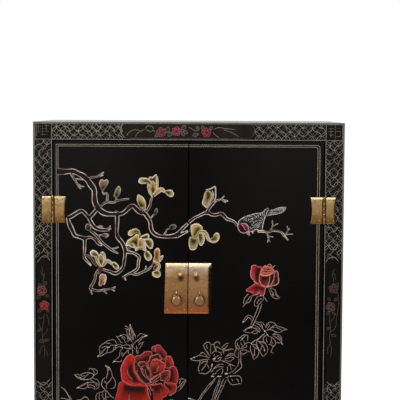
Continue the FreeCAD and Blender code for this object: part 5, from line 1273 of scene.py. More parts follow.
rightBranch = {
    "boughs": strokesOf("""
        189,222.3,1.2 194.4,218,1.2 199,215.9,1.15 204,213.4,1.3 208.5,213,1.5 212.2,214.7,1.4 216,214.9,1.5
        220.8,213.6,1.5 224,215.8,1.5 227,218.9,1.4 230.5,220.1,0.95 234.3,221.9,1 237.6,225.8,1.1 |
        206.8,213,1.4 208,210,1.3 210.6,206.4,1.2 213.6,202.4,1 216,200.6,0.8 | 258,231.4,0.6 265,231.9,0.6
        269.4,231.9,0.7 272,230.8,0.7 276,230.8,0.6 279.8,231.6,0.6 282.2,233.2,0.7 284.4,236.2,0.6
        288,240,0.4
    """),
    "twigs": strokesOf("""
        189,230.9,0.8 191,229.6,0.8 192.6,228,0.7 | 216,200.4,0.8 220.4,199.6,0.6 224.4,196.2,0.4 |
        221.4,199.2,0.5 224,200.2,0.5 228,201,0.4 | 222.6,200,0.5 225.6,202.6,0.4
    """),
    "thinTwigs": strokesOf("""
        269.8,231.2,0.5 271.8,227.8,0.4 272.8,225,0.35 272.4,223,0.35 272.4,220.4,0.3 | 272.6,225.4,0.3
        274.6,225.6,0.3 275.8,224.6,0.3 278,223.6,0.2 | 266,232.2,0.45 267.4,234.4,0.45 268.2,236.8,0.4
        268.6,239.6,0.35 267.3,242.6,0.25 | 268.7,239.8,0.3 270.4,242,0.2 | 268.2,235.8,0.3 270,236.6,0.3
        273.4,237,0.2 | 285,235.2,0.4 287,232,0.45 287.7,229.4,0.4 287.2,226,0.25 | 287.2,231,0.4
        289.4,228.4,0.4 | 286,234.6,0.3 289,234.4,0.25 293,234.1,0.2
    """),
    "patches": petalsOf("""
        olive 0.2 | 206,191 208.4,190.4 211,191.4 212.6,194 212.4,198 211,202 208.6,206 206.4,208
        203.4,205.6 202,203 203.4,198 204,194 | 208,192.8 208.6,195.6 ; olive 0.2 | 189.4,237.6 191,236.6
        194,238 197,237 197.8,241 197.6,245 196,249 193,250.3 190.2,249.4 188.8,246 188.6,241 | 192.2,239.6
        195,240.2 ; yellow 0.1 | 190.6,226.4 192.6,224.4 196,223.4 200,224.4 202.6,227 202.4,230 200,231.4
        197.8,233.6 196,237 193.2,237.6 191.4,234.6 190.9,230 | 198.6,229.2 196.4,233 194.6,235.4 ; pale 0.2
        | 197.6,234.6 199.6,232.2 202.6,232.6 204.4,236 204.8,240 203.6,243.6 201.4,245.8 199.2,244.8
        198.2,241 197.4,238 | 199.4,235 200.2,238.4 ; olive 0.2 | 209.6,241.6 210.4,238.6 212.8,237
        214,234.4 216.4,232.6 218.6,233.4 219.6,236.4 218.8,240 216.4,242 213,242.6 | 211,239.6 213.6,238.6
    """),
    "blades": petalsOf("""
        mauve 1.3 | 206,190 210,189 213,187.6 215.2,186.8 215.6,192 215.6,197.4 214,201.6 | 0.6,1,1,1,0.6 ;
        mauve 1 | 212.4,190.6 213.4,195 212.6,200.4 | 0.5,1,1,0.8,0.4 ; cream 3.6 | 200.6,231.4 204,231.6
        206.6,234.6 208.4,239 211.4,241.4 | 0.5,0.85,1,0.9,0.5 ; cream 1.6 | 209.8,241.4 213,242.2
        216.6,241.4 218.8,238.6 | 0.6,1,1,0.8,0.4
    """),
}
branches = newOrnament()
addBranches(branches, rightBranch)
finishOrnament(branches, "right_door_branches", "right_door", paint)
blossoms = newOrnament()
addBlossoms(blossoms, rightBranch)
finishOrnament(blossoms, "right_door_blossoms", "right_door", paint)

# The bird's body, tail, head, cheek and beak: "rim, body and heart colours, rim width | outline | heart"
bird = {
    "shapes": petalsOf("""
        112,102,102 50,42,42 30,20,22 0.4 | 238,223.4 239.8,219.8 243,217.2 247.8,215.4 252.8,214
        256.3,213.4 261.5,212.4 265,209.8 267.6,208.2 269,210 267,212.8 265,217.4 263.3,221.4 262.4,225.4
        262,229.6 257,230.4 252,230.8 247,230.6 243,226 | 244,221 252,226 ; 112,108,108 64,60,60 50,46,46
        0.4 | 266.6,212.4 270.2,210.6 277.2,208.3 286.2,207.2 283.4,211.4 280.6,213 273.7,214.6 266.6,216.1
        | 271,213 278,211.6 ; 120,80,86 56,6,18 44,0,10 0.4 | 239.6,223.6 241.6,223.2 244.6,223.2 247.2,225
        248.8,228.6 248.8,231.6 246,232.8 242.4,232.9 239.6,231 238.2,227.6 | 241.6,226 242.4,229.6 ;
        150,98,106 124,56,68 100,30,42 0.3 | 241.8,224.2 244.8,223.8 247.2,225.8 248.4,229 248,231.4
        246.2,231.8 245.6,229.8 244.2,227.4 | 246.4,228.6 247,230.8 ; 206,172,170 176,136,136 150,104,106
        0.4 | 246,231.8 248.6,230.8 249.2,232.6 249.9,235.7 247.6,234.4 246.4,233.2 | 248.2,232.8
    """),
    "lifts": (0.00036, 0.00038, 0.0005, 0.00056, 0.00066),
    "feathers": strokesOf("""
        260.6,221.4 258.8,223.2 257,224.8 254.6,226.4 252.2,228 250.2,229.6 | 257.8,222.4 256,224.2
        253.6,225.4 251.4,225.6 | 256.6,220.6 254.4,222.4 252.8,223.8 251.4,224.8 | 259.8,225.2 258.4,227
        256.8,227.9 | 262,221.6 260.4,223.4 258.4,225.2 256.6,226.4 254.6,228 | 254.6,217.4 252.8,219.6
        250.8,221.4 249.2,222.6 | 247,221.6 249.2,219.8 251.2,219 | 248.2,218.4 249.4,219.8 250.6,218.6 |
        243.6,220.6 245.4,219 247,218 | 245.4,221.2 247,219.6 | 264.6,211 264.2,213.5 264.8,216 |
        262.2,212.6 262.6,214.6 261.6,216.4 | 259,213.8 258.4,216 259.4,217.8 | 254,215 255.4,216.4
        255,218.4 | 246.4,217.4 250,216.4 253,216.2 | 252.6,220.6 253.6,222 255.6,221.6 | 255.4,219.6
        256.6,221.2 258.2,220.4 | 258.6,219.4 259.8,220.8 261.6,219.6 | 260.4,217.2 261.6,218.6 263.2,217.6
        | 262.6,219 262,221 | 257,214.4 257.4,215.6 | 263.2,214.4 263.6,216.4 | 249.6,226.6 250.8,228 |
        271,211.4 276,210.4 281,211.2 283.4,210.6 | 269.4,212.6 274,212.4 279,212.4 282,211.8 | 268,214.4
        272,213.6 277,213.2 | 276,209.4 280,208.8 285.4,208.2 | 278,210 281.6,209.6 284.6,209.2
    """),
    "outline": strokesOf("""
        237.4,224.6 238.4,222 240,220 242.4,218.2 245.2,216.7 250,215.2 255.6,213.6 260.6,213.2 263,212
        265,210.1 267.8,208.3 269,210.4 | 239.6,222.8 238.2,224.6 237.8,227 238.6,229.6 240.2,231.6
        242.2,232.8 244.6,232.9 246.2,232.5 | 241,223.7 243,223.5 245,223.4 246.8,224.4 248,226.2
        248.7,228.6 249,231 249.8,235.4 | 268.6,210 267,211.8 266.2,214.6 265,217.4 263.6,221.4 262.8,225
        262.6,228 261.8,229.8 | 270,210.7 273,209.9 277,208.5 281,207.5 286,207.2 | 286,207.4 285,209.6
        283.2,211.5 281,212.9 277,214 272,214.7 266.4,216
    """),
    "flecks": strokesOf("""
        250.8,219 252.9,218.2 | 260.4,213.6 260.6,215.6 | 256.3,215.9 256.7,217.6 | 264.7,216.6 264.4,218.4
        | 262.6,225.2 262.4,227.4 | 241.4,218.9 245.2,216.8 | 248.4,215.7 250,215.3 | 252.2,214.6
        253.6,214.3 | 283,210.4 284,209.8
    """),
    "feet": strokesOf("""
        250.2,231.6 252,231.4 253.6,230.6 255,229.7 256.6,229.3 258.2,230.2 260,230.5 264.8,230.4 |
        253.4,230.6 252.6,232.2 253,233.6 | 257.4,231 258.6,232.1 259.8,232.3 | 254.6,229.9 253.2,231.4
    """),
    "brow": strokesOf("240.8,223.6 242,225.2 243.4,226.8 244.4,228.4 245.2,229.6"),
    "eye": strokesOf("244.4,229.3 245.9,229.8"),
}
# Width in photo pixels, colour, worn colour and lift of the bird's lines
birdLines = {
    "feathers": (0.56, ink(214, 206, 204), ink(120, 110, 110), 0.00062),
    "outline": (0.74, ink(214, 206, 204), ink(150, 138, 136), 0.00072),
    "flecks": (1.0, ink(234, 226, 222), None, 0.0008),
    "feet": (1.15, ink(224, 194, 192), ink(196, 160, 158), 0.0006),
    "brow": (0.8, ink(206, 150, 160), None, 0.0008),
    "eye": (0.8, ink(206, 130, 140), None, 0.0008),
}
art = newOrnament()
for lift, (outline, heart, colours, rim) in zip(bird["lifts"], bird["shapes"]):
    addPatch(art, outline, heart, inksOf(colours), lift, rim=rim)
for key, look in birdLines.items():
    addStrokes(art, bird[key], *look)
finishOrnament(art, "right_door_bird", "right_door", paint)

rose = petalsOf("""
    204,148,142 108,34,34 62,12,12 0.3 | 274.4,271 277,271 278.2,273 278.2,276 279,280 278.4,283 276,285
    273,285.8 270.4,286 272.6,282.6 274,279.4 274.4,275 | 275,275 275,281.6 ; 190,126,118 78,14,12 54,8,6
    0.4 | 269.6,275.2 273,272.6 274.4,274 274,279 272.6,282.6 270.4,285.4 268,286.4 269.4,282 | 272,276
    271,281.6 ; 236,150,148 188,50,58 60,8,4 0.5 | 251,266.6 252.4,265.4 254.4,264.8 256.6,265.6 259,266.4
    261.6,266.6 262,268.6 261,272 260,275 259.4,279 259,285 255.6,282.2 253,280 251,277.6 250.2,274.4
    250.5,270.6 251.4,268.6 | 259.6,269.4 258.4,275 258,281 ; 224,140,138 172,40,52 88,16,16 0.25 |
    255.8,282.8 252,285.4 249,287.6 246,289.8 247,291.6 249.6,292 252,293 254,294.4 251.6,296.6 254,295.4
    257,295 259,293.2 260,295.2 261.6,296 263.4,295.6 264.8,293 265.4,290 266.2,287.4 263,286 260.4,285 |
    256.4,287 259,288 263,288.6 ; 196,126,122 118,30,32 64,6,8 0.3 | 259.6,275.4 259.4,279 260,282
    261.4,284.6 264,286 266.4,286.6 268.4,284.4 269.4,281.4 269.8,278.4 269.6,274.8 266,275.6 262.6,275.4 |
    263,277.6 268,277 ; 226,154,124 206,112,84 152,60,42 0.1 | 260.4,274.6 261,271 262,268.4 264,266.8
    266.4,266 269,266.6 272,268.2 274.2,270 273.2,272.6 271,274.8 267,276.2 263,276 | 265,270.4 269,270 ;
    150,50,40 112,14,12 96,8,8 0.3 | 266.8,269.4 267.6,268.2 268.8,268.2 269.4,269.2 268.6,270.2 267.4,270.2
    | 268.2,269.2 ; 190,80,76 168,42,44 130,24,26 0.3 | 262.4,269 263,267.8 264.6,267.4 265.6,268
    264.6,268.8 263.4,269.6 | 264,268.4 ; 140,76,48 100,40,20 84,30,14 0.3 | 264.4,271.8 265.8,271 268,271.2
    268.4,271.9 266.6,272.2 | 266.4,271.6
""")
roseFolds = strokesOf("""
    262.4,268.4 264,266.4 265.4,265.6 266.2,266.6 | 267.6,266.8 268,265.2 269.4,264.2 270.8,264.6
    271.6,266.2 271.6,267.8 | 272.4,268.6 273.4,266.8 274.9,265.5 | 262.2,270.6 264.4,269.8 266.6,270.3
    269,270.7 271.6,270 | 263,273.2 265,272.6 268.6,272.8 271.6,271.8 | 259.3,275.4 259.3,279 260.2,282.6
    262,285.2 266,287.4 | 269.8,275.6 269.8,279 268.8,283 267.2,286.6 | 274.4,271.4 274.2,276 273,281
    271,284.6 269,286.4 | 253.4,281 255.2,282.6 257.8,284 | 265.4,286.8 265.2,290 264.6,293 263.4,295.6 |
    256.6,294.4 258.6,293 259.4,291.8 | 274.6,270.9 277,271 278.2,273.2 278.2,276 279,280 278.4,283 276,285
    272.4,286 | 268.8,287 270.8,286.4 272.2,287.4 | 269.6,265.8 270.6,267.2
""")
roseRims = {
    "cup": strokesOf("259.6,274.6 261.4,274.6 263,275.3 266,275.7 269,275 271.4,273.6 273.4,272.2"),
    "base": strokesOf("266,287.4 268,286.6 269.8,285.5"),
}
largeRoseLook = {
    "tone": (0.68, 0.48, 0.4), "rimTone": (0.93, 0.84, 0.8), "lift": 0.0003, "rise": 0.00007, "rim": 0.55,
    "evenRim": 0.4, "veins": 4, "foldPixels": 0.62, "foldLift": 0.0011,
    "fold": ink(226, 166, 150), "foldDark": ink(176, 106, 98),
}
art = newOrnament()
addFlower(art, rose, roseFolds, largeRoseLook)
addStrokes(art, roseRims["cup"], 1.1, ink(230, 164, 138), ink(200, 112, 88), 0.0011)
addStrokes(art, roseRims["base"], 1.3, ink(226, 152, 146), lift=0.0012)
finishOrnament(art, "right_door_rose", "right_door", paint)

rightLeaves = strokesOf("""
    267,287 269,288 271.6,288.4 275.2,290 276.8,294.6 279.8,297.2 | 279.8,297.2 277.2,298.9 272.2,296.8
    270.2,292.6 268.6,288.4 | 270.4,289.4 272.6,292.4 274,296 | 274.6,291.6 276.4,295.6 278.6,297.8 |
    272,293 273.2,296.6 | 248.4,294 245.8,296.6 244,299.6 243.6,304 | 251.8,297 249.6,301.8 245.6,303.6
    242.4,307.4 | 250.4,296 247.4,300.4 245.6,303 | 264,296 258.4,296.2 255.2,300.4 254.4,304.8 256.6,307 |
    256.6,307 260.8,302.4 264,298.4 | 262,298 258.6,300.6 256.8,304 | 264.4,297.6 266,299.8 267.6,302 |
    263.4,295.6 264.2,298.6 | 258.8,305.6 255.8,313 252.8,320.2 250.2,326 | 261.9,303.8 259.4,311.6
    255.8,319.2 252.4,326 | 252.8,318.6 251,315.8 247.8,315.5 244.6,318.7 242.4,323 | 242.4,323 245.6,320.4
    248,317.4 250.4,318.4 251.6,320.6 | 243.2,331.2 246.1,329.2 249.4,327.7 253.6,327.9 256.5,329.6
    258.9,331.6 259.8,332.7 | 243.6,331.4 247.4,332.5 250.7,332.7 253.6,331.2 256,330.8 258.5,332.1 |
    251.5,332.5 254.8,333.7 258.1,332.5 | 249.8,326.7 252.3,326.5 253.6,324.6 | 253.2,325 255.6,321.7
    258.9,322.5 261.4,322.1 263.5,323.8 264.7,325.9 | 255.6,323.4 258.5,324.2 260.6,326.3 263.1,329.2
    264.7,330.4 | 254.4,325.4 258.1,327.1 259.8,329.6 260.4,331.6 | 260.6,323.4 262.2,325.9 262.7,327.9 |
    255.6,327.5 258.9,329.6 | 264.9,327.1 266.4,324.6 268.4,322.5 271.8,322.1 274.6,323.4 276.7,325.9
    279.6,326.9 283.3,327.9 287.5,329.8 | 287.5,329.8 284.2,330 282.1,331.2 279.6,332.5 276.7,332.5
    273.8,334.1 272.2,334.7 | 264.3,330.8 268,330 270.5,328.3 273,326.1 275.9,325.4 | 268,330 271.8,329.8
    274.6,331.6 277.5,332.3 | 265.6,327.9 267.2,325.4 269.3,323.4 | 266.8,329.6 268.9,326.7 270.1,324.6 |
    275.1,326.9 278.8,328.7 282.1,330.4 | 271.3,327.9 274.6,327.3 | 264.7,330.4 266,332.5 267.4,334.9
    269.3,337 | 265.1,333.3 262.7,334.9 260.2,337 257.3,339.5 255.2,340.3 252.3,342.4 250.7,343.2 |
    264.3,334.5 261.4,336.6 258.9,339.1 256.9,340.7 | 269.3,336.6 272.2,337.4 274.2,339.5 275.9,342.4
    275.1,344.9 273.2,346.9 271.8,349.4 271.3,352.3 273.8,353.3 | 266.8,335.4 264.3,336.6 263.3,339.1
    264.3,342.4 266,343.6 | 266.8,337.8 266.4,340.3 267.6,342.8 | 271.8,337.4 271.3,341.2 272.6,342.8
    271.8,344.5 | 268.4,344.5 270.9,344.9 273.2,346.5 | 270.9,341.2 270.5,344.5 | 272.2,334.7 275.1,334.5
    278.4,334.9 280.8,336.2 281.7,338.7 281.7,342 282.9,345.3 | 273.4,335.8 275.9,337.4 278,338.7
    279.6,340.3 281.3,342.8 282.5,344.9 | 275.9,342.4 278.4,342.8 280.8,343.6 | 276.7,336.2 279.6,337.4
    280.8,339.9 | 256,340.5 259.8,341.6 262.7,341.6 265.1,343.4 266.8,346.1 267.8,348.6 266.8,353.1
    264.7,355.2 263.7,356.9 | 256.5,341.2 256.9,344.9 258.5,348.6 260.6,352.7 262.2,355.2 263.7,356.9 |
    258.9,342 262.2,344.9 263.1,346.5 264.7,349.4 264.3,351.9 | 262.2,345.3 261,348.6 260.6,350.7 |
    259.8,342 263.1,342.8 265.1,343.6 | 251.1,343.4 253.2,344.5 255.6,344.5 256.5,346.5 258.5,349.4
    258.9,352.7 257.3,356.4 254.4,359.3 | 250.7,345.3 250.3,348.6 251.5,352.7 252.7,356 253.6,359.5 |
    252.3,344.9 254.4,347.4 256.9,348.6 258.5,349.8 | 254.4,347.8 254.8,351.1 254.4,353.6 255.2,356 |
    254.4,353.6 253.2,356.5 | 235.4,344.9 235.4,342 237,339.9 240,337.8 242.4,335.8 244.9,335 247.4,335.2
    247.8,337.8 247.4,341.2 | 240.3,341.2 242,339.5 244.1,337 245.7,335.4 | 237.4,342.4 237,346.1
    236.2,349.4 234.1,351.9 | 238.7,344.5 239.1,347.8 238.7,350.7 | 240.7,342.4 241.2,344.5 243,345.3 |
    243.6,340.7 244.5,343.6 247,342.8 | 235.4,344.9 236,347.6 238.2,349.4 | 240.3,348.6 243.2,346.1
    246.5,343.2 248.6,342.4 250.7,343.2 | 240.7,349.4 243.6,347.8 246.5,346.9 246.5,344.5 | 241.2,350.7
    244.5,349.8 247.8,351.1 250.3,352.3 | 242,354.4 244.9,353.6 247.4,351.5 | 241.2,352.3 242.4,355.2 |
    235.6,356.8 238.5,357.6 238.9,361.8 237.5,366.1 235.1,369 231.8,371.9 228.9,373.3 | 240.3,350
    240.8,357.1 240.8,361.8 241.8,366.1 240.4,368.5 236.5,371.9 232.7,374.2 | 238.7,351.5 238.5,357.6 |
    236.2,351.1 234.1,354 | 190.8,358.7 194.3,357.5 199.4,355.2 202.2,352.8 205.1,354 207.9,357 209.8,357 |
    199.8,355.6 202.7,356.1 206,356.8 209.8,357.5 | 190.8,359 193.2,360.4 197.4,360.8 200.8,360.2
    205.1,359.5 209.8,359 | 200.3,353.5 202.5,352.3 204.6,353.7 | 210.1,356.1 207.5,352.8 205.1,349
    203.6,345.9 204.6,343.7 207,342.3 209.4,342.5 210.8,344.7 | 210.8,344.7 210.6,348.5 210.3,351.4
    211.3,354.2 | 207,344.2 206.5,346.6 207.9,349 | 211.3,345.2 212.7,344.2 214.1,345.2 | 215.6,350.4
    214.6,347.1 214.4,343.7 216.5,341.8 218.9,342.3 219.9,344.7 | 215.6,346.6 217.5,347.1 219.9,348.5
    220.8,349.4 | 215.8,347.1 216,349.9 216.5,352.3 | 211.8,353.7 214.1,351.4 215.6,350.4 | 221.3,348.7
    223.7,345.6 226.5,343.7 229.2,343.3 | 222.2,349.4 224.1,348.7 226.1,347.1 228,344.7 | 222.2,349.9
    226.5,349.9 230.3,349 233.7,349.4 | 223.7,351.1 227,350.4 230.8,349.7 | 221.3,349.4 223.2,350.9
    223.7,354.2 | 217.5,351.8 219.4,352.3 221.3,352.1 | 220.8,352.3 221.5,355.6 | 212.2,359.5 214.6,358
    217,356.6 218.9,355.2 | 212.7,360.2 216.5,361.4 218.9,360.9 221.3,358 220.1,357.1 218.4,358.5 217,359.5
    | 213.2,355.6 215.1,354.7 | 225.6,357.1 227.5,355.2 230.3,353.5 233.2,354 235.1,355.6 235.8,356.8 |
    224.1,359 227.5,358.5 229.9,357.1 232.7,357.3 234.2,358 232.3,359.5 229.9,361.4 226.5,360.7 223.7,359.5
    | 227,356.6 230.4,355 233.4,355.4 | 220.3,360.4 223.7,361.4 227,362.8 230.3,364.2 235.1,366.1 |
    210.8,372.3 213.2,370 215.6,366.6 219.4,364.5 223.7,364.2 | 211.8,371.9 214.1,369 217,367.1 221.3,366.6
    224.1,366.1 | 216.5,372.3 217.5,370.9 220.3,369 222.7,367.3 | 222.2,368.5 223,370.9 221.3,374.2 |
    227.5,366.6 227.5,371.4 | 228,366.1 229.9,364.7 230.8,367.1 231.5,370.4 | 200.1,360.9 199.4,364.7
    198.4,368.5 199.4,372.8 | 199.4,373.3 202.2,373.3 205.1,374 207.5,372.8 210.3,370.4 211.8,367.6 |
    201.3,364.2 203.2,361.8 206,361.4 207.9,360.9 | 201.7,370.4 204.1,367.1 206,364.2 207.9,360.4 |
    206.5,364.2 208.4,366.6 208.9,369 | 214.1,373.3 211.8,375.7 | 216.5,372.3 214.6,374.7 | 214.6,378.5
    211.8,381.9 208.4,385.2 205.1,390 201.7,394.3 198.9,399 192,409 | 216,377.6 214.1,380.9 210.8,385.2
    207.5,389.5 204.1,393.3 200.8,398.6 195,411 | 219.4,378.5 217.9,383.3 215.6,388.5 213.7,393.8 212,399.5
    207,414 | 220.8,378.5 219.4,383.3 217.5,388.1 215.6,393.8 214.1,399.5 209,414 | 224.1,378.5 222.2,382.3
    219.9,388.5 217.5,393.8 215.1,399.5 210.4,414 | 226.1,379.5 224.6,383.3 222.7,388.1 220.3,392.8
    217.5,399.5 213,414 | 209.6,384.6 212,383.4 | 217.4,385.4 218.8,384.6 | 221.2,386 223.4,385.6 |
    216,390.6 217.4,389.8 | 219,391.4 221.2,391 | 227.5,376.6 230.3,376.1 233.7,376.1 237.5,375.7
    240.4,377.1 241.6,380 241.6,382.8 | 227.5,378.5 229.4,382.3 231.3,384.5 235.6,384.5 238.9,383.8
    241.6,383.8 | 236.1,378.5 238,380.4 238.9,382.3 | 231.8,379 233.2,381.4 | 225.6,377.6 228.6,377.2 |
    187.9,398.3 190.8,398.8 194.4,400 197,404
""")
rightGlints = strokesOf("""
    242.4,322.1 244.5,321.5 | 245,330 246.6,329 | 248,328.2 250.4,327.4 | 250,326.8 252,326.5 | 253.2,324.8
    254,324.2 | 264.2,330.6 265,332 | 267,334.4 267.8,335.6 | 265,343.3 265.6,343.6 | 273,346.4 273.6,346.4
    | 251,343.4 252,343.8 | 190.2,358.8 192,358.6 | 193.8,357.6 195,357.4 | 223.6,348.8 224.6,348.6 |
    213.2,359.4 215.6,358.6 | 223.4,361.3 224.2,361.6 | 211,376.2 214.2,376.8 | 217,376.6 221.6,376.3 |
    224.8,373.7 227.8,373.4 | 225,374.3 227.6,374 | 230,376.2 231.4,376.2 | 264.6,349.4 264.4,351 |
    242,339.2 243.4,337.4 | 211.6,367.2 212.4,363.6 | 188,398.3 191,398.9
""")
lowerRight = {
    "boughs": strokesOf("""
        211,413,1.4 208.6,424,1.4 211,436,1.5 217,448,1.6 222,460,1.8 226,472,2.1 229,486,2.6 |
        193.4,410,0.9 197,420,1 203,430,1.1 210.4,437,1.2 | 217,447,1.2 226,438,1.1 236,432,1 247,428,0.6
    """),
    "leaves": strokesOf("""
        232,416 211,424 0.18 | 229,428 211,432 0.2 | 250,418 236,432 0.2 | 262,430 247,428 0.22 | 248,442
        236,433 0.2 | 198,446 208,436 0.22 | 203,460 216,448 0.2 | 240,456 221,457 0.2 | 208,472 224,466 0.2
        | 246,470 226,471 0.18 | 276,440 250,429 0.14 | 192,428 198,421 0.24
    """),
    "rocks": strokesOf("""
        194,489 200,480 208,478 215,470 224,473 229,480 238,482 243,489 | 215,470 214,480 219,489 | 208,478
        206,488 | 250,489 256,478 264,474 273,466 283,470 289,479 299,478 308,488 | 273,466 272,477 277,488
        | 289,479 287,488 | 264,474 262,484
    """),
    "grass": strokesOf("""
        245,489 242,478 234,470 | 247,489 250,476 256,470 | 290,488 295,474 303,466 | 292,488 300,478
        309,474 | 196,489 193,478 191,470
    """),
}
art = newOrnament()
addLeafLines(art, rightLeaves, linePixels["branchLeaf"])
addGlints(art, rightGlints)
addLowPlant(art, lowerRight)
finishOrnament(art, "right_door_leaves", "right_door", paint)
print("right door painted")


# Brass plates with a soft crown, broad worn edges and slightly bent sides, in place of the flat ones
plateSteps = {"across": 26, "tall": 44, "smoothFall": 0.0005}


def addPlate(low, high, front, look):
    across, tall = plateSteps["across"], plateSteps["tall"]
    points, faces = [], []
    width, height = high[0] - low[0], high[2] - low[2]
    for j in range(tall + 1):
        v = 0.5 - 0.5 * math.cos(math.pi * j / tall)
        pull = math.sin(math.pi * v)
        x0 = low[0] + look["leftShift"][0] * (1 - v) + look["leftShift"][1] * v + look["waists"][0] * pull
        x1 = high[0] + look["rightShift"][0] * (1 - v) + look["rightShift"][1] * v - look["waists"][1] * pull
        z = low[2] + height * v
        for i in range(across + 1):
            u = 0.5 - 0.5 * math.cos(math.pi * i / across)
            x = x0 + (x1 - x0) * u
            fall = 0
            reaches = (u * width, (1 - u) * width, v * height, (1 - v) * height)
            for reach, bevel, drop in zip(reaches, look["bevels"], look["drops"]):
                fall = max(fall, drop * max(0, 1 - reach / bevel) ** 2)
            belly = look["crown"] * (1 - (2 * u - 1) ** 2) * (1 - (2 * v - 1) ** 2)
            dent = look["dent"] * swayAt((x, z), 60, 7) * max(0, 1 - fall / plateSteps["smoothFall"])
            points.append((x, front + look["crown"] - belly + fall + dent, z))
    for j in range(tall):
        for i in range(across):
            a = j * (across + 1) + i
            faces.append((a, a + 1, a + across + 2, a + across + 1))
    rimLoop = list(range(across + 1))
    rimLoop += [j * (across + 1) + across for j in range(1, tall + 1)]
    rimLoop += [tall * (across + 1) + i for i in range(across - 1, -1, -1)]
    rimLoop += [j * (across + 1) for j in range(tall - 1, 0, -1)]
    start = len(points)
    for r in rimLoop:
        points.append((points[r][0], high[1], points[r][2]))
    for k in range(len(rimLoop)):
        n = (k + 1) % len(rimLoop)
        faces.append((rimLoop[n], rimLoop[k], start + k, start + n))
    faces.append(tuple(range(start, len(points))))
    return points, faces


def joinRings(faces, start, rings, sides):  # rings of points joined one to the next, and both ends closed
    for ring in range(rings - 1):
        a, b = start + ring * sides, start + (ring + 1) * sides
        for k in range(sides):
            n = (k + 1) % sides
            faces.append((a + k, a + n, b + n, b + k))
    faces.append(tuple(start + k for k in range(sides - 1, -1, -1)))
    faces.append(tuple(start + (rings - 1) * sides + k for k in range(sides)))


def addRod(points, faces, x, y, z0, z1, radius, sides=20):  # an upright round rod with softened ends
    soft = radius * 0.25
    rings = [(z0, radius * 0.8), (z0 + soft, radius), (z1 - soft, radius), (z1, radius * 0.8)]
    start = len(points)
    for z, r in rings:
        for k in range(sides):
            angle = 2 * math.pi * k / sides
            points.append((x + r * math.cos(angle), y + r * math.sin(angle), z))
    joinRings(faces, start, len(rings), sides)


def addBlock(points, faces, low, high):
    start = len(points)
    for z in (low[2], high[2]):
        points += [(low[0], low[1], z), (high[0], low[1], z), (high[0], high[1], z), (low[0], high[1], z)]
    for side in ((0, 3, 2, 1), (4, 5, 6, 7), (0, 1, 5, 4), (1, 2, 6, 5), (2, 3, 7, 6), (3, 0, 4, 7)):
        faces.append(tuple(start + k for k in side))


def finishBrass(name, points, faces, body, finish, *replaced, second=None, secondFrom=0):
    mesh = bpy.data.meshes.new(name)
    mesh.from_pydata(points, [], faces)
    mesh.polygons.foreach_set("use_smooth", [len(f) == 4 for f in faces])
    mesh.update()
    mesh.set_sharp_from_angle(angle=math.radians(50))
    piece = bpy.data.objects.new(name, mesh)
    bpy.context.scene.collection.objects.link(piece)
    mesh.materials.append(finish)
    if second:
        mesh.materials.append(second)
        mesh.polygons.foreach_set("material_index", [int(k >= secondFrom) for k in range(len(faces))])
    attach(piece, body)
    if replaced:
        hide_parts(*replaced)


# In metres: bevels and drops go left, right, bottom, top; shifts are for the bottom and top of a side
plateLooks = {
    "left": {
        "bevels": (0.0080, 0.0020, 0.0030, 0.0130), "drops": (0.0022, 0.0005, 0.0009, 0.0026),
        "leftShift": (-0.0012, 0.0020), "rightShift": (0.0, 0.0010),
        "waists": (0, 0), "crown": 0.0004, "dent": 0.00022, "dirtyEdge": None,
    },
    "right": {
        "bevels": (0.0020, 0.0105, 0.0030, 0.0170), "drops": (0.0005, 0.0036, 0.0009, 0.0036),
        "leftShift": (-0.0013, -0.0004), "rightShift": (-0.0016, -0.0004),
        "waists": (0, 0), "crown": 0.0004, "dent": 0.00022, "dirtyEdge": (0.0100, 0.0066),
    },
}
# Painted shadow below the lug, round the bowl of the drop pull and in its slot: steps of (distance, strength)
paintedShadowLook = {
    "lugDrop": 0.003, "lugAside": 0.001, "lugSteps": [(0.0068, 0.85), (0.0105, 0)],
    "bowl": 0.0105, "bowlSteps": [(0.0125, 0.8), (0.0145, 0.7), (0.0170, 0)],
    "slotDrop": 0.0057, "slotSteps": [(0.0046, 0.9), (0.0064, 0)],
}
plateBrassLooks = {
    "left": {**brassLook, "pale": ink(255, 224, 178), "gold": ink(192, 142, 92), "brown": ink(162, 110, 68)},
    "right": {**brassLook, "pale": ink(255, 232, 200), "gold": ink(202, 152, 108)},
}
plateLow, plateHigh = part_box("left_lock_plate")
plates = {}
for side, look in plateLooks.items():
    low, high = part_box(side + "_lock_plate")
    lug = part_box(side + "_lock_lug")
    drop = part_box(side + "_drop_pull")
    lugX = (lug[0].x + lug[1].x) / 2 + paintedShadowLook["lugAside"]
    dropX = (drop[0].x + drop[1].x) / 2
    paintedShadows = [
        ((lugX, low.y, lug[0].z - paintedShadowLook["lugDrop"]), paintedShadowLook["lugSteps"]),
        ((dropX, low.y, drop[0].z + paintedShadowLook["bowl"]), paintedShadowLook["bowlSteps"]),
        ((dropX, low.y, drop[1].z - paintedShadowLook["slotDrop"]), paintedShadowLook["slotSteps"]),
    ]
    # The right plate's right bevel gets painted shade
    edge = [high.x - reach for reach in look["dirtyEdge"]] if look["dirtyEdge"] else None
    plateBrassLook = plateBrassLooks[side]
    plates[side] = brassFinish(side + "PlateBrass", plateBrassLook, plateHigh.z, plateLow.z, paintedShadows, edge)
    points, faces = addPlate(low, high, low.y, look)
    finishBrass(side + "_lock_plate_brass", points, faces, side + "_door", plates[side], side + "_lock_plate")

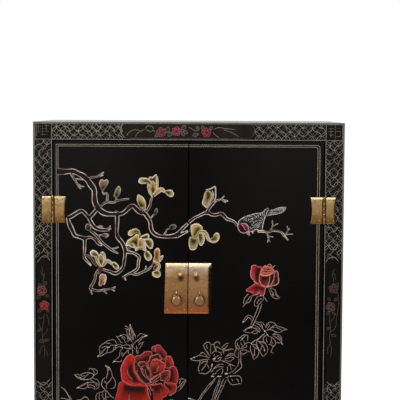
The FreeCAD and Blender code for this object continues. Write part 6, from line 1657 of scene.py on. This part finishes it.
# Hinge leaves with a waist, and slim knuckles in deep grooves
hingeLook = {
    "knuckleRadius": 0.0031, "tabBack": 0.0012, "tabIn": 0.003, "knuckleGap": 0.0003, "knuckles": 5,
    "axisGap": 0.0043, "thick": 0.0022, "crown": 0.0002, "dent": 0.00016, "drops": (0.0008, 0.0008, 0.0007),
    "topDrop": {"left": 0.0007, "right": 0.0013}, "redBelow": 0.005,
}
leafLooks = {
    ("left", "frame"): {
        "leftShift": (0.0026, 0.0030), "rightShift": (0.0006, 0.0006),
        "waists": (0.0002, 0.0), "bevels": (0.0036, 0.0016, 0.002, 0.0060),
    },
    ("left", "door"): {
        "leftShift": (-0.0006, -0.0006), "rightShift": (0.0014, 0.0022),
        "waists": (0.0, 0.003), "bevels": (0.0016, 0.0036, 0.002, 0.0070),
    },
    ("right", "frame"): {
        "leftShift": (-0.0006, -0.0006), "rightShift": (-0.0022, -0.0020),
        "waists": (0.0, 0.0024), "bevels": (0.0016, 0.0036, 0.002, 0.0070),
    },
    ("right", "door"): {
        "leftShift": (-0.0030, -0.0030), "rightShift": (0.0006, 0.0006),
        "waists": (0.0034, 0.0), "bevels": (0.0036, 0.0016, 0.002, 0.0070),
    },
}
# The knuckles and the tabs between them get a darker brass: painted shade in the grooves, darker at the top
# than at the bottom
knuckleShadeLook = {
    **hingeBrassLook, "pale": ink(112, 80, 46), "gold": ink(122, 90, 54), "brown": ink(142, 110, 72),
    "red": ink(156, 124, 94), "rough": (0.4, 0.52),
}
hinges = {}
for side in ("left", "right"):
    for level in ("upper", "lower"):
        low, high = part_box(f"{side}_{level}_hinge_frame_leaf")
        hingeName = f"{side}{level.title()}"
        # The leaves' brass is pale at the top and red lower down: a painted highlight at the top, painted
        # shade below, partly tarnish
        hinges[side, level] = brassFinish(hingeName + "HingeBrass", hingeBrassLook, high.z,
                                          low.z - hingeLook["redBelow"])
        knuckleShadeBrass = brassFinish(hingeName + "KnuckleBrass", knuckleShadeLook, high.z, low.z)
        pinLow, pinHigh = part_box(f"{side}_{level}_hinge_pin")
        axisX, axisY = (pinLow.x + pinHigh.x) / 2, (pinLow.y + pinHigh.y) / 2
        for part in ("frame", "door"):
            node = f"{side}_{level}_hinge_{part}_leaf"
            low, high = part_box(node)
            outward = (side == "left") == (part == "frame")  # the plate lies to the left of the knuckle
            gap = hingeLook["axisGap"]
            x0, x1 = (low.x, axisX - gap) if outward else (axisX + gap, high.x)
            look = {**leafLooks[side, part], "crown": hingeLook["crown"], "dent": hingeLook["dent"]}
            look["drops"] = (*hingeLook["drops"], hingeLook["topDrop"][side])
            plateFront = frontY - hingeLook["thick"]
            points, faces = addPlate((x0, low.y, low.z), (x1, frontY, high.z), plateFront, look)
            plateFaces = len(faces)
            knuckleStep = (high.z - low.z + hingeLook["knuckleGap"]) / hingeLook["knuckles"]
            for k in range(0 if part == "frame" else 1, hingeLook["knuckles"], 2):
                z0 = low.z + k * knuckleStep
                z1 = z0 + knuckleStep - hingeLook["knuckleGap"]
                addRod(points, faces, axisX, axisY, z0, z1, hingeLook["knuckleRadius"])
                tab = (x1 - hingeLook["tabIn"], axisX) if outward else (axisX, x0 + hingeLook["tabIn"])
                addBlock(points, faces, (tab[0], plateFront + hingeLook["tabBack"], z0), (tab[1], frontY, z1))
            body = "case" if part == "frame" else side + "_door"
            finishBrass(node + "_brass", points, faces, body, hinges[side, level], node,
                        second=knuckleShadeBrass, secondFrom=plateFaces)
nailLook = {**hingeBrassLook, "gold": ink(150, 112, 66), "brown": ink(138, 100, 56)}
nailEnds = (3.0, -1.0)  # heights far off, which keep every nail between brown and gold
nailBrass = brassFinish("nailBrass", nailLook, *nailEnds)
pullDrop = 0.03
pullBottom = plateLow.z - pullDrop
# The pull's brass is pale at the top and red lower down: a painted highlight at the top, painted shade below,
# partly tarnish
pullBrass = brassFinish("pullBrass", brassLook, plateHigh.z, pullBottom)
# A paler copy of the brass for the bead and the pull's eye: a painted highlight
beadHighlightLook = {
    **brassLook, "gold": ink(230, 190, 146), "brown": ink(214, 170, 124), "red": ink(190, 130, 84),
    "rough": (0.34, 0.46),
}
beadBrass = brassFinish("beadBrass", beadHighlightLook, plateHigh.z, pullBottom)
# The lug is pale on top and dark below: a painted highlight on its top and painted shade underneath
lugLow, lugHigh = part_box("left_lock_lug")
lugLitShadedLook = {**brassLook, "brown": ink(70, 44, 26), "red": ink(44, 26, 14)}
lugIn = 0.001
lugBrass = brassFinish("lugBrass", lugLitShadedLook, lugHigh.z - lugIn, lugLow.z + lugIn)

# A raised bead round the upper edge of each drop pull; arcs are from, to in degrees, and thickness
beadLook = {
    "inset": 0.0014, "bowl": 0.0105, "arcs": [(112, 205, 0.0013), (68, 15, 0.0009)],
    "sunk": 0.0001, "flat": 0.7, "steps": 16, "sides": 8,
}
for side in ("left", "right"):
    low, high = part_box(side + "_drop_pull")
    middleX, bowlZ = (low.x + high.x) / 2, low.z + beadLook["bowl"]
    reach = beadLook["bowl"] - beadLook["inset"]
    steps, sides = beadLook["steps"], beadLook["sides"]
    points, faces = [], []
    for first, last, thickness in beadLook["arcs"]:
        path = []
        for k in range(steps + 1):
            angle = math.radians(first + (last - first) * k / steps)
            path.append((middleX + reach * math.cos(angle), bowlZ + reach * math.sin(angle)))
        start = len(points)
        for i, spot in enumerate(path):
            nx, nz = crossways(path, i)
            share = i / steps
            thick = thickness * min(1, 0.3 + 4 * share, 0.2 + 1.6 * (1 - share))
            for k in range(sides):
                angle = 2 * math.pi * k / sides
                out = thick * math.cos(angle)
                y = low.y + beadLook["sunk"] + thick * beadLook["flat"] * math.sin(angle)
                points.append((spot[0] + nx * out, y, spot[1] + nz * out))
        joinRings(faces, start, steps + 1, sides)
    finishBrass(side + "_pull_bead", points, faces, side + "_pull", beadBrass)
print("brass made")

# Finishes for the pieces that come from the model as they are
for name, piece in nodes.items():
    if "hinge" in name and "nails" not in name:
        side, level = name.split("_")[:2]
        finish = hinges[side, level]
    elif "lock_plate" in name:
        finish = plates[name.split("_")[0]]
    elif "nails" in name:
        finish = nailBrass
    elif "lug" in name:
        finish = lugBrass
    elif "pull_eye" in name:
        # the eye gets the paler bead brass, a painted highlight
        finish = beadBrass
    elif "pull" in name or name == "stand_fixing_blocks":  # the blocks ought to be rawWood
        finish = pullBrass
    elif "screws" in name:
        finish = steel
    elif name == "back_panel":
        finish = rawWood
    elif "shelf" in name or name == "bottom_board" or "stop" in name:
        finish = innerLacquer
    elif name == "top_board":
        finish = topLacquer
    else:
        finish = blackLacquer
    piece.data.materials.clear()
    piece.data.materials.append(finish)
print("nodes finished")

# Floor, light and background
studio = {
    "floor": ink(236, 235, 232), "floorShade": (0.5, 0.5, 0.5), "floorRough": 0.7, "floorLift": 0.6,
    "floorCorners": ((-2.8, -2.7), (2.8, -2.7), (2.8, 3.2), (-2.8, 3.2)), "ambient": 0.42,
    "lights": {  # place, aim, size, watts
        "keyLight": ((-1.6, -2.6, 2.9), (0, -0.1, 0.8), (0.9, 0.9), 70.0),
        "fillLight": ((1.5, -2.4, 3.0), (0, -0.1, 0.8), (1.6, 1.6), 26.0),
        "topLight": ((0, 0.6, 3.4), (0, 0, 1.0), (2.0, 1.2), 30.0),
    },
}


def seenDirectly(tree):  # the light path, and whether the camera sees this by itself or through glass
    path = addNode(tree, "ShaderNodeLightPath")
    return path, maths(tree, "MAXIMUM", path.outputs["Is Camera Ray"], path.outputs["Is Transmission Ray"])


floorMesh = bpy.data.meshes.new("floor")
floorMesh.from_pydata([(x, y, 0) for x, y in studio["floorCorners"]], [], [(0, 1, 2, 3)])
floor = bpy.data.objects.new("floor", floorMesh)
bpy.context.scene.collection.objects.link(floor)
floorFinish, tree, shader = newFinish("floorFinish")
dusty = mixInk(studio["floor"], studio["floorShade"], 0.06)
tone = ramp(tree, noiseOf(tree, 3, 3), [(0.3, dusty), (0.7, studio["floor"])])
tree.links.new(tone, shader.inputs["Base Color"])
shader.inputs["Roughness"].default_value = studio["floorRough"]
_, seen = seenDirectly(tree)
lift = maths(tree, "MULTIPLY", seen, studio["floorLift"])
shader.inputs["Emission Color"].default_value = (1, 1, 1, 1)
tree.links.new(lift, shader.inputs["Emission Strength"])  # the floor looks white, and keeps its shadow
floorMesh.materials.append(floorFinish)


def addSoftLight(name, place, aim, size, watts):
    lamp = bpy.data.lights.new(name, "AREA")
    lamp.shape = "RECTANGLE"
    lamp.size, lamp.size_y = size
    lamp.energy = watts
    lampObject = bpy.data.objects.new(name, lamp)
    bpy.context.scene.collection.objects.link(lampObject)
    lampObject.location = place
    lampObject.rotation_mode = "QUATERNION"
    lampObject.rotation_quaternion = (Vector(aim) - Vector(place)).to_track_quat("-Z", "Y")


for name, light in studio["lights"].items():
    addSoftLight(name, *light)

world = bpy.data.worlds.new("studio")
bpy.context.scene.world = world
world.use_nodes = True
tree = world.node_tree
tree.nodes.clear()
path, seen = seenDirectly(tree)
where = addNode(tree, "ShaderNodeTexCoord").outputs["Generated"]
behind = mapped(tree, axisOf(tree, where, "Y"), -0.5, 0.3, 0.38, 1.0)
above = mapped(tree, axisOf(tree, where, "Z"), 0.0, 0.6, 0.0, 1.1)
screen = mapped(tree, axisOf(tree, where, "X"), 0.2, 0.55, 1.0, 0.12)  # a dark screen at the right
glossy = maths(tree, "MULTIPLY", maths(tree, "MAXIMUM", behind, above), screen)
mirrored = {"Factor": path.outputs["Is Glossy Ray"], "A": studio["ambient"], "B": glossy}
level = addNode(tree, "ShaderNodeMix", mirrored, data_type="FLOAT").outputs[0]
strength = addNode(tree, "ShaderNodeMix", {"Factor": seen, "A": level, "B": 1.0}, data_type="FLOAT")
back = addNode(tree, "ShaderNodeBackground", {"Color": (1, 1, 1, 1), "Strength": strength.outputs[0]})
out = addNode(tree, "ShaderNodeOutputWorld")
tree.links.new(back.outputs[0], out.inputs[0])
bpy.context.scene.view_settings.view_transform = "Standard"
print("studio set")
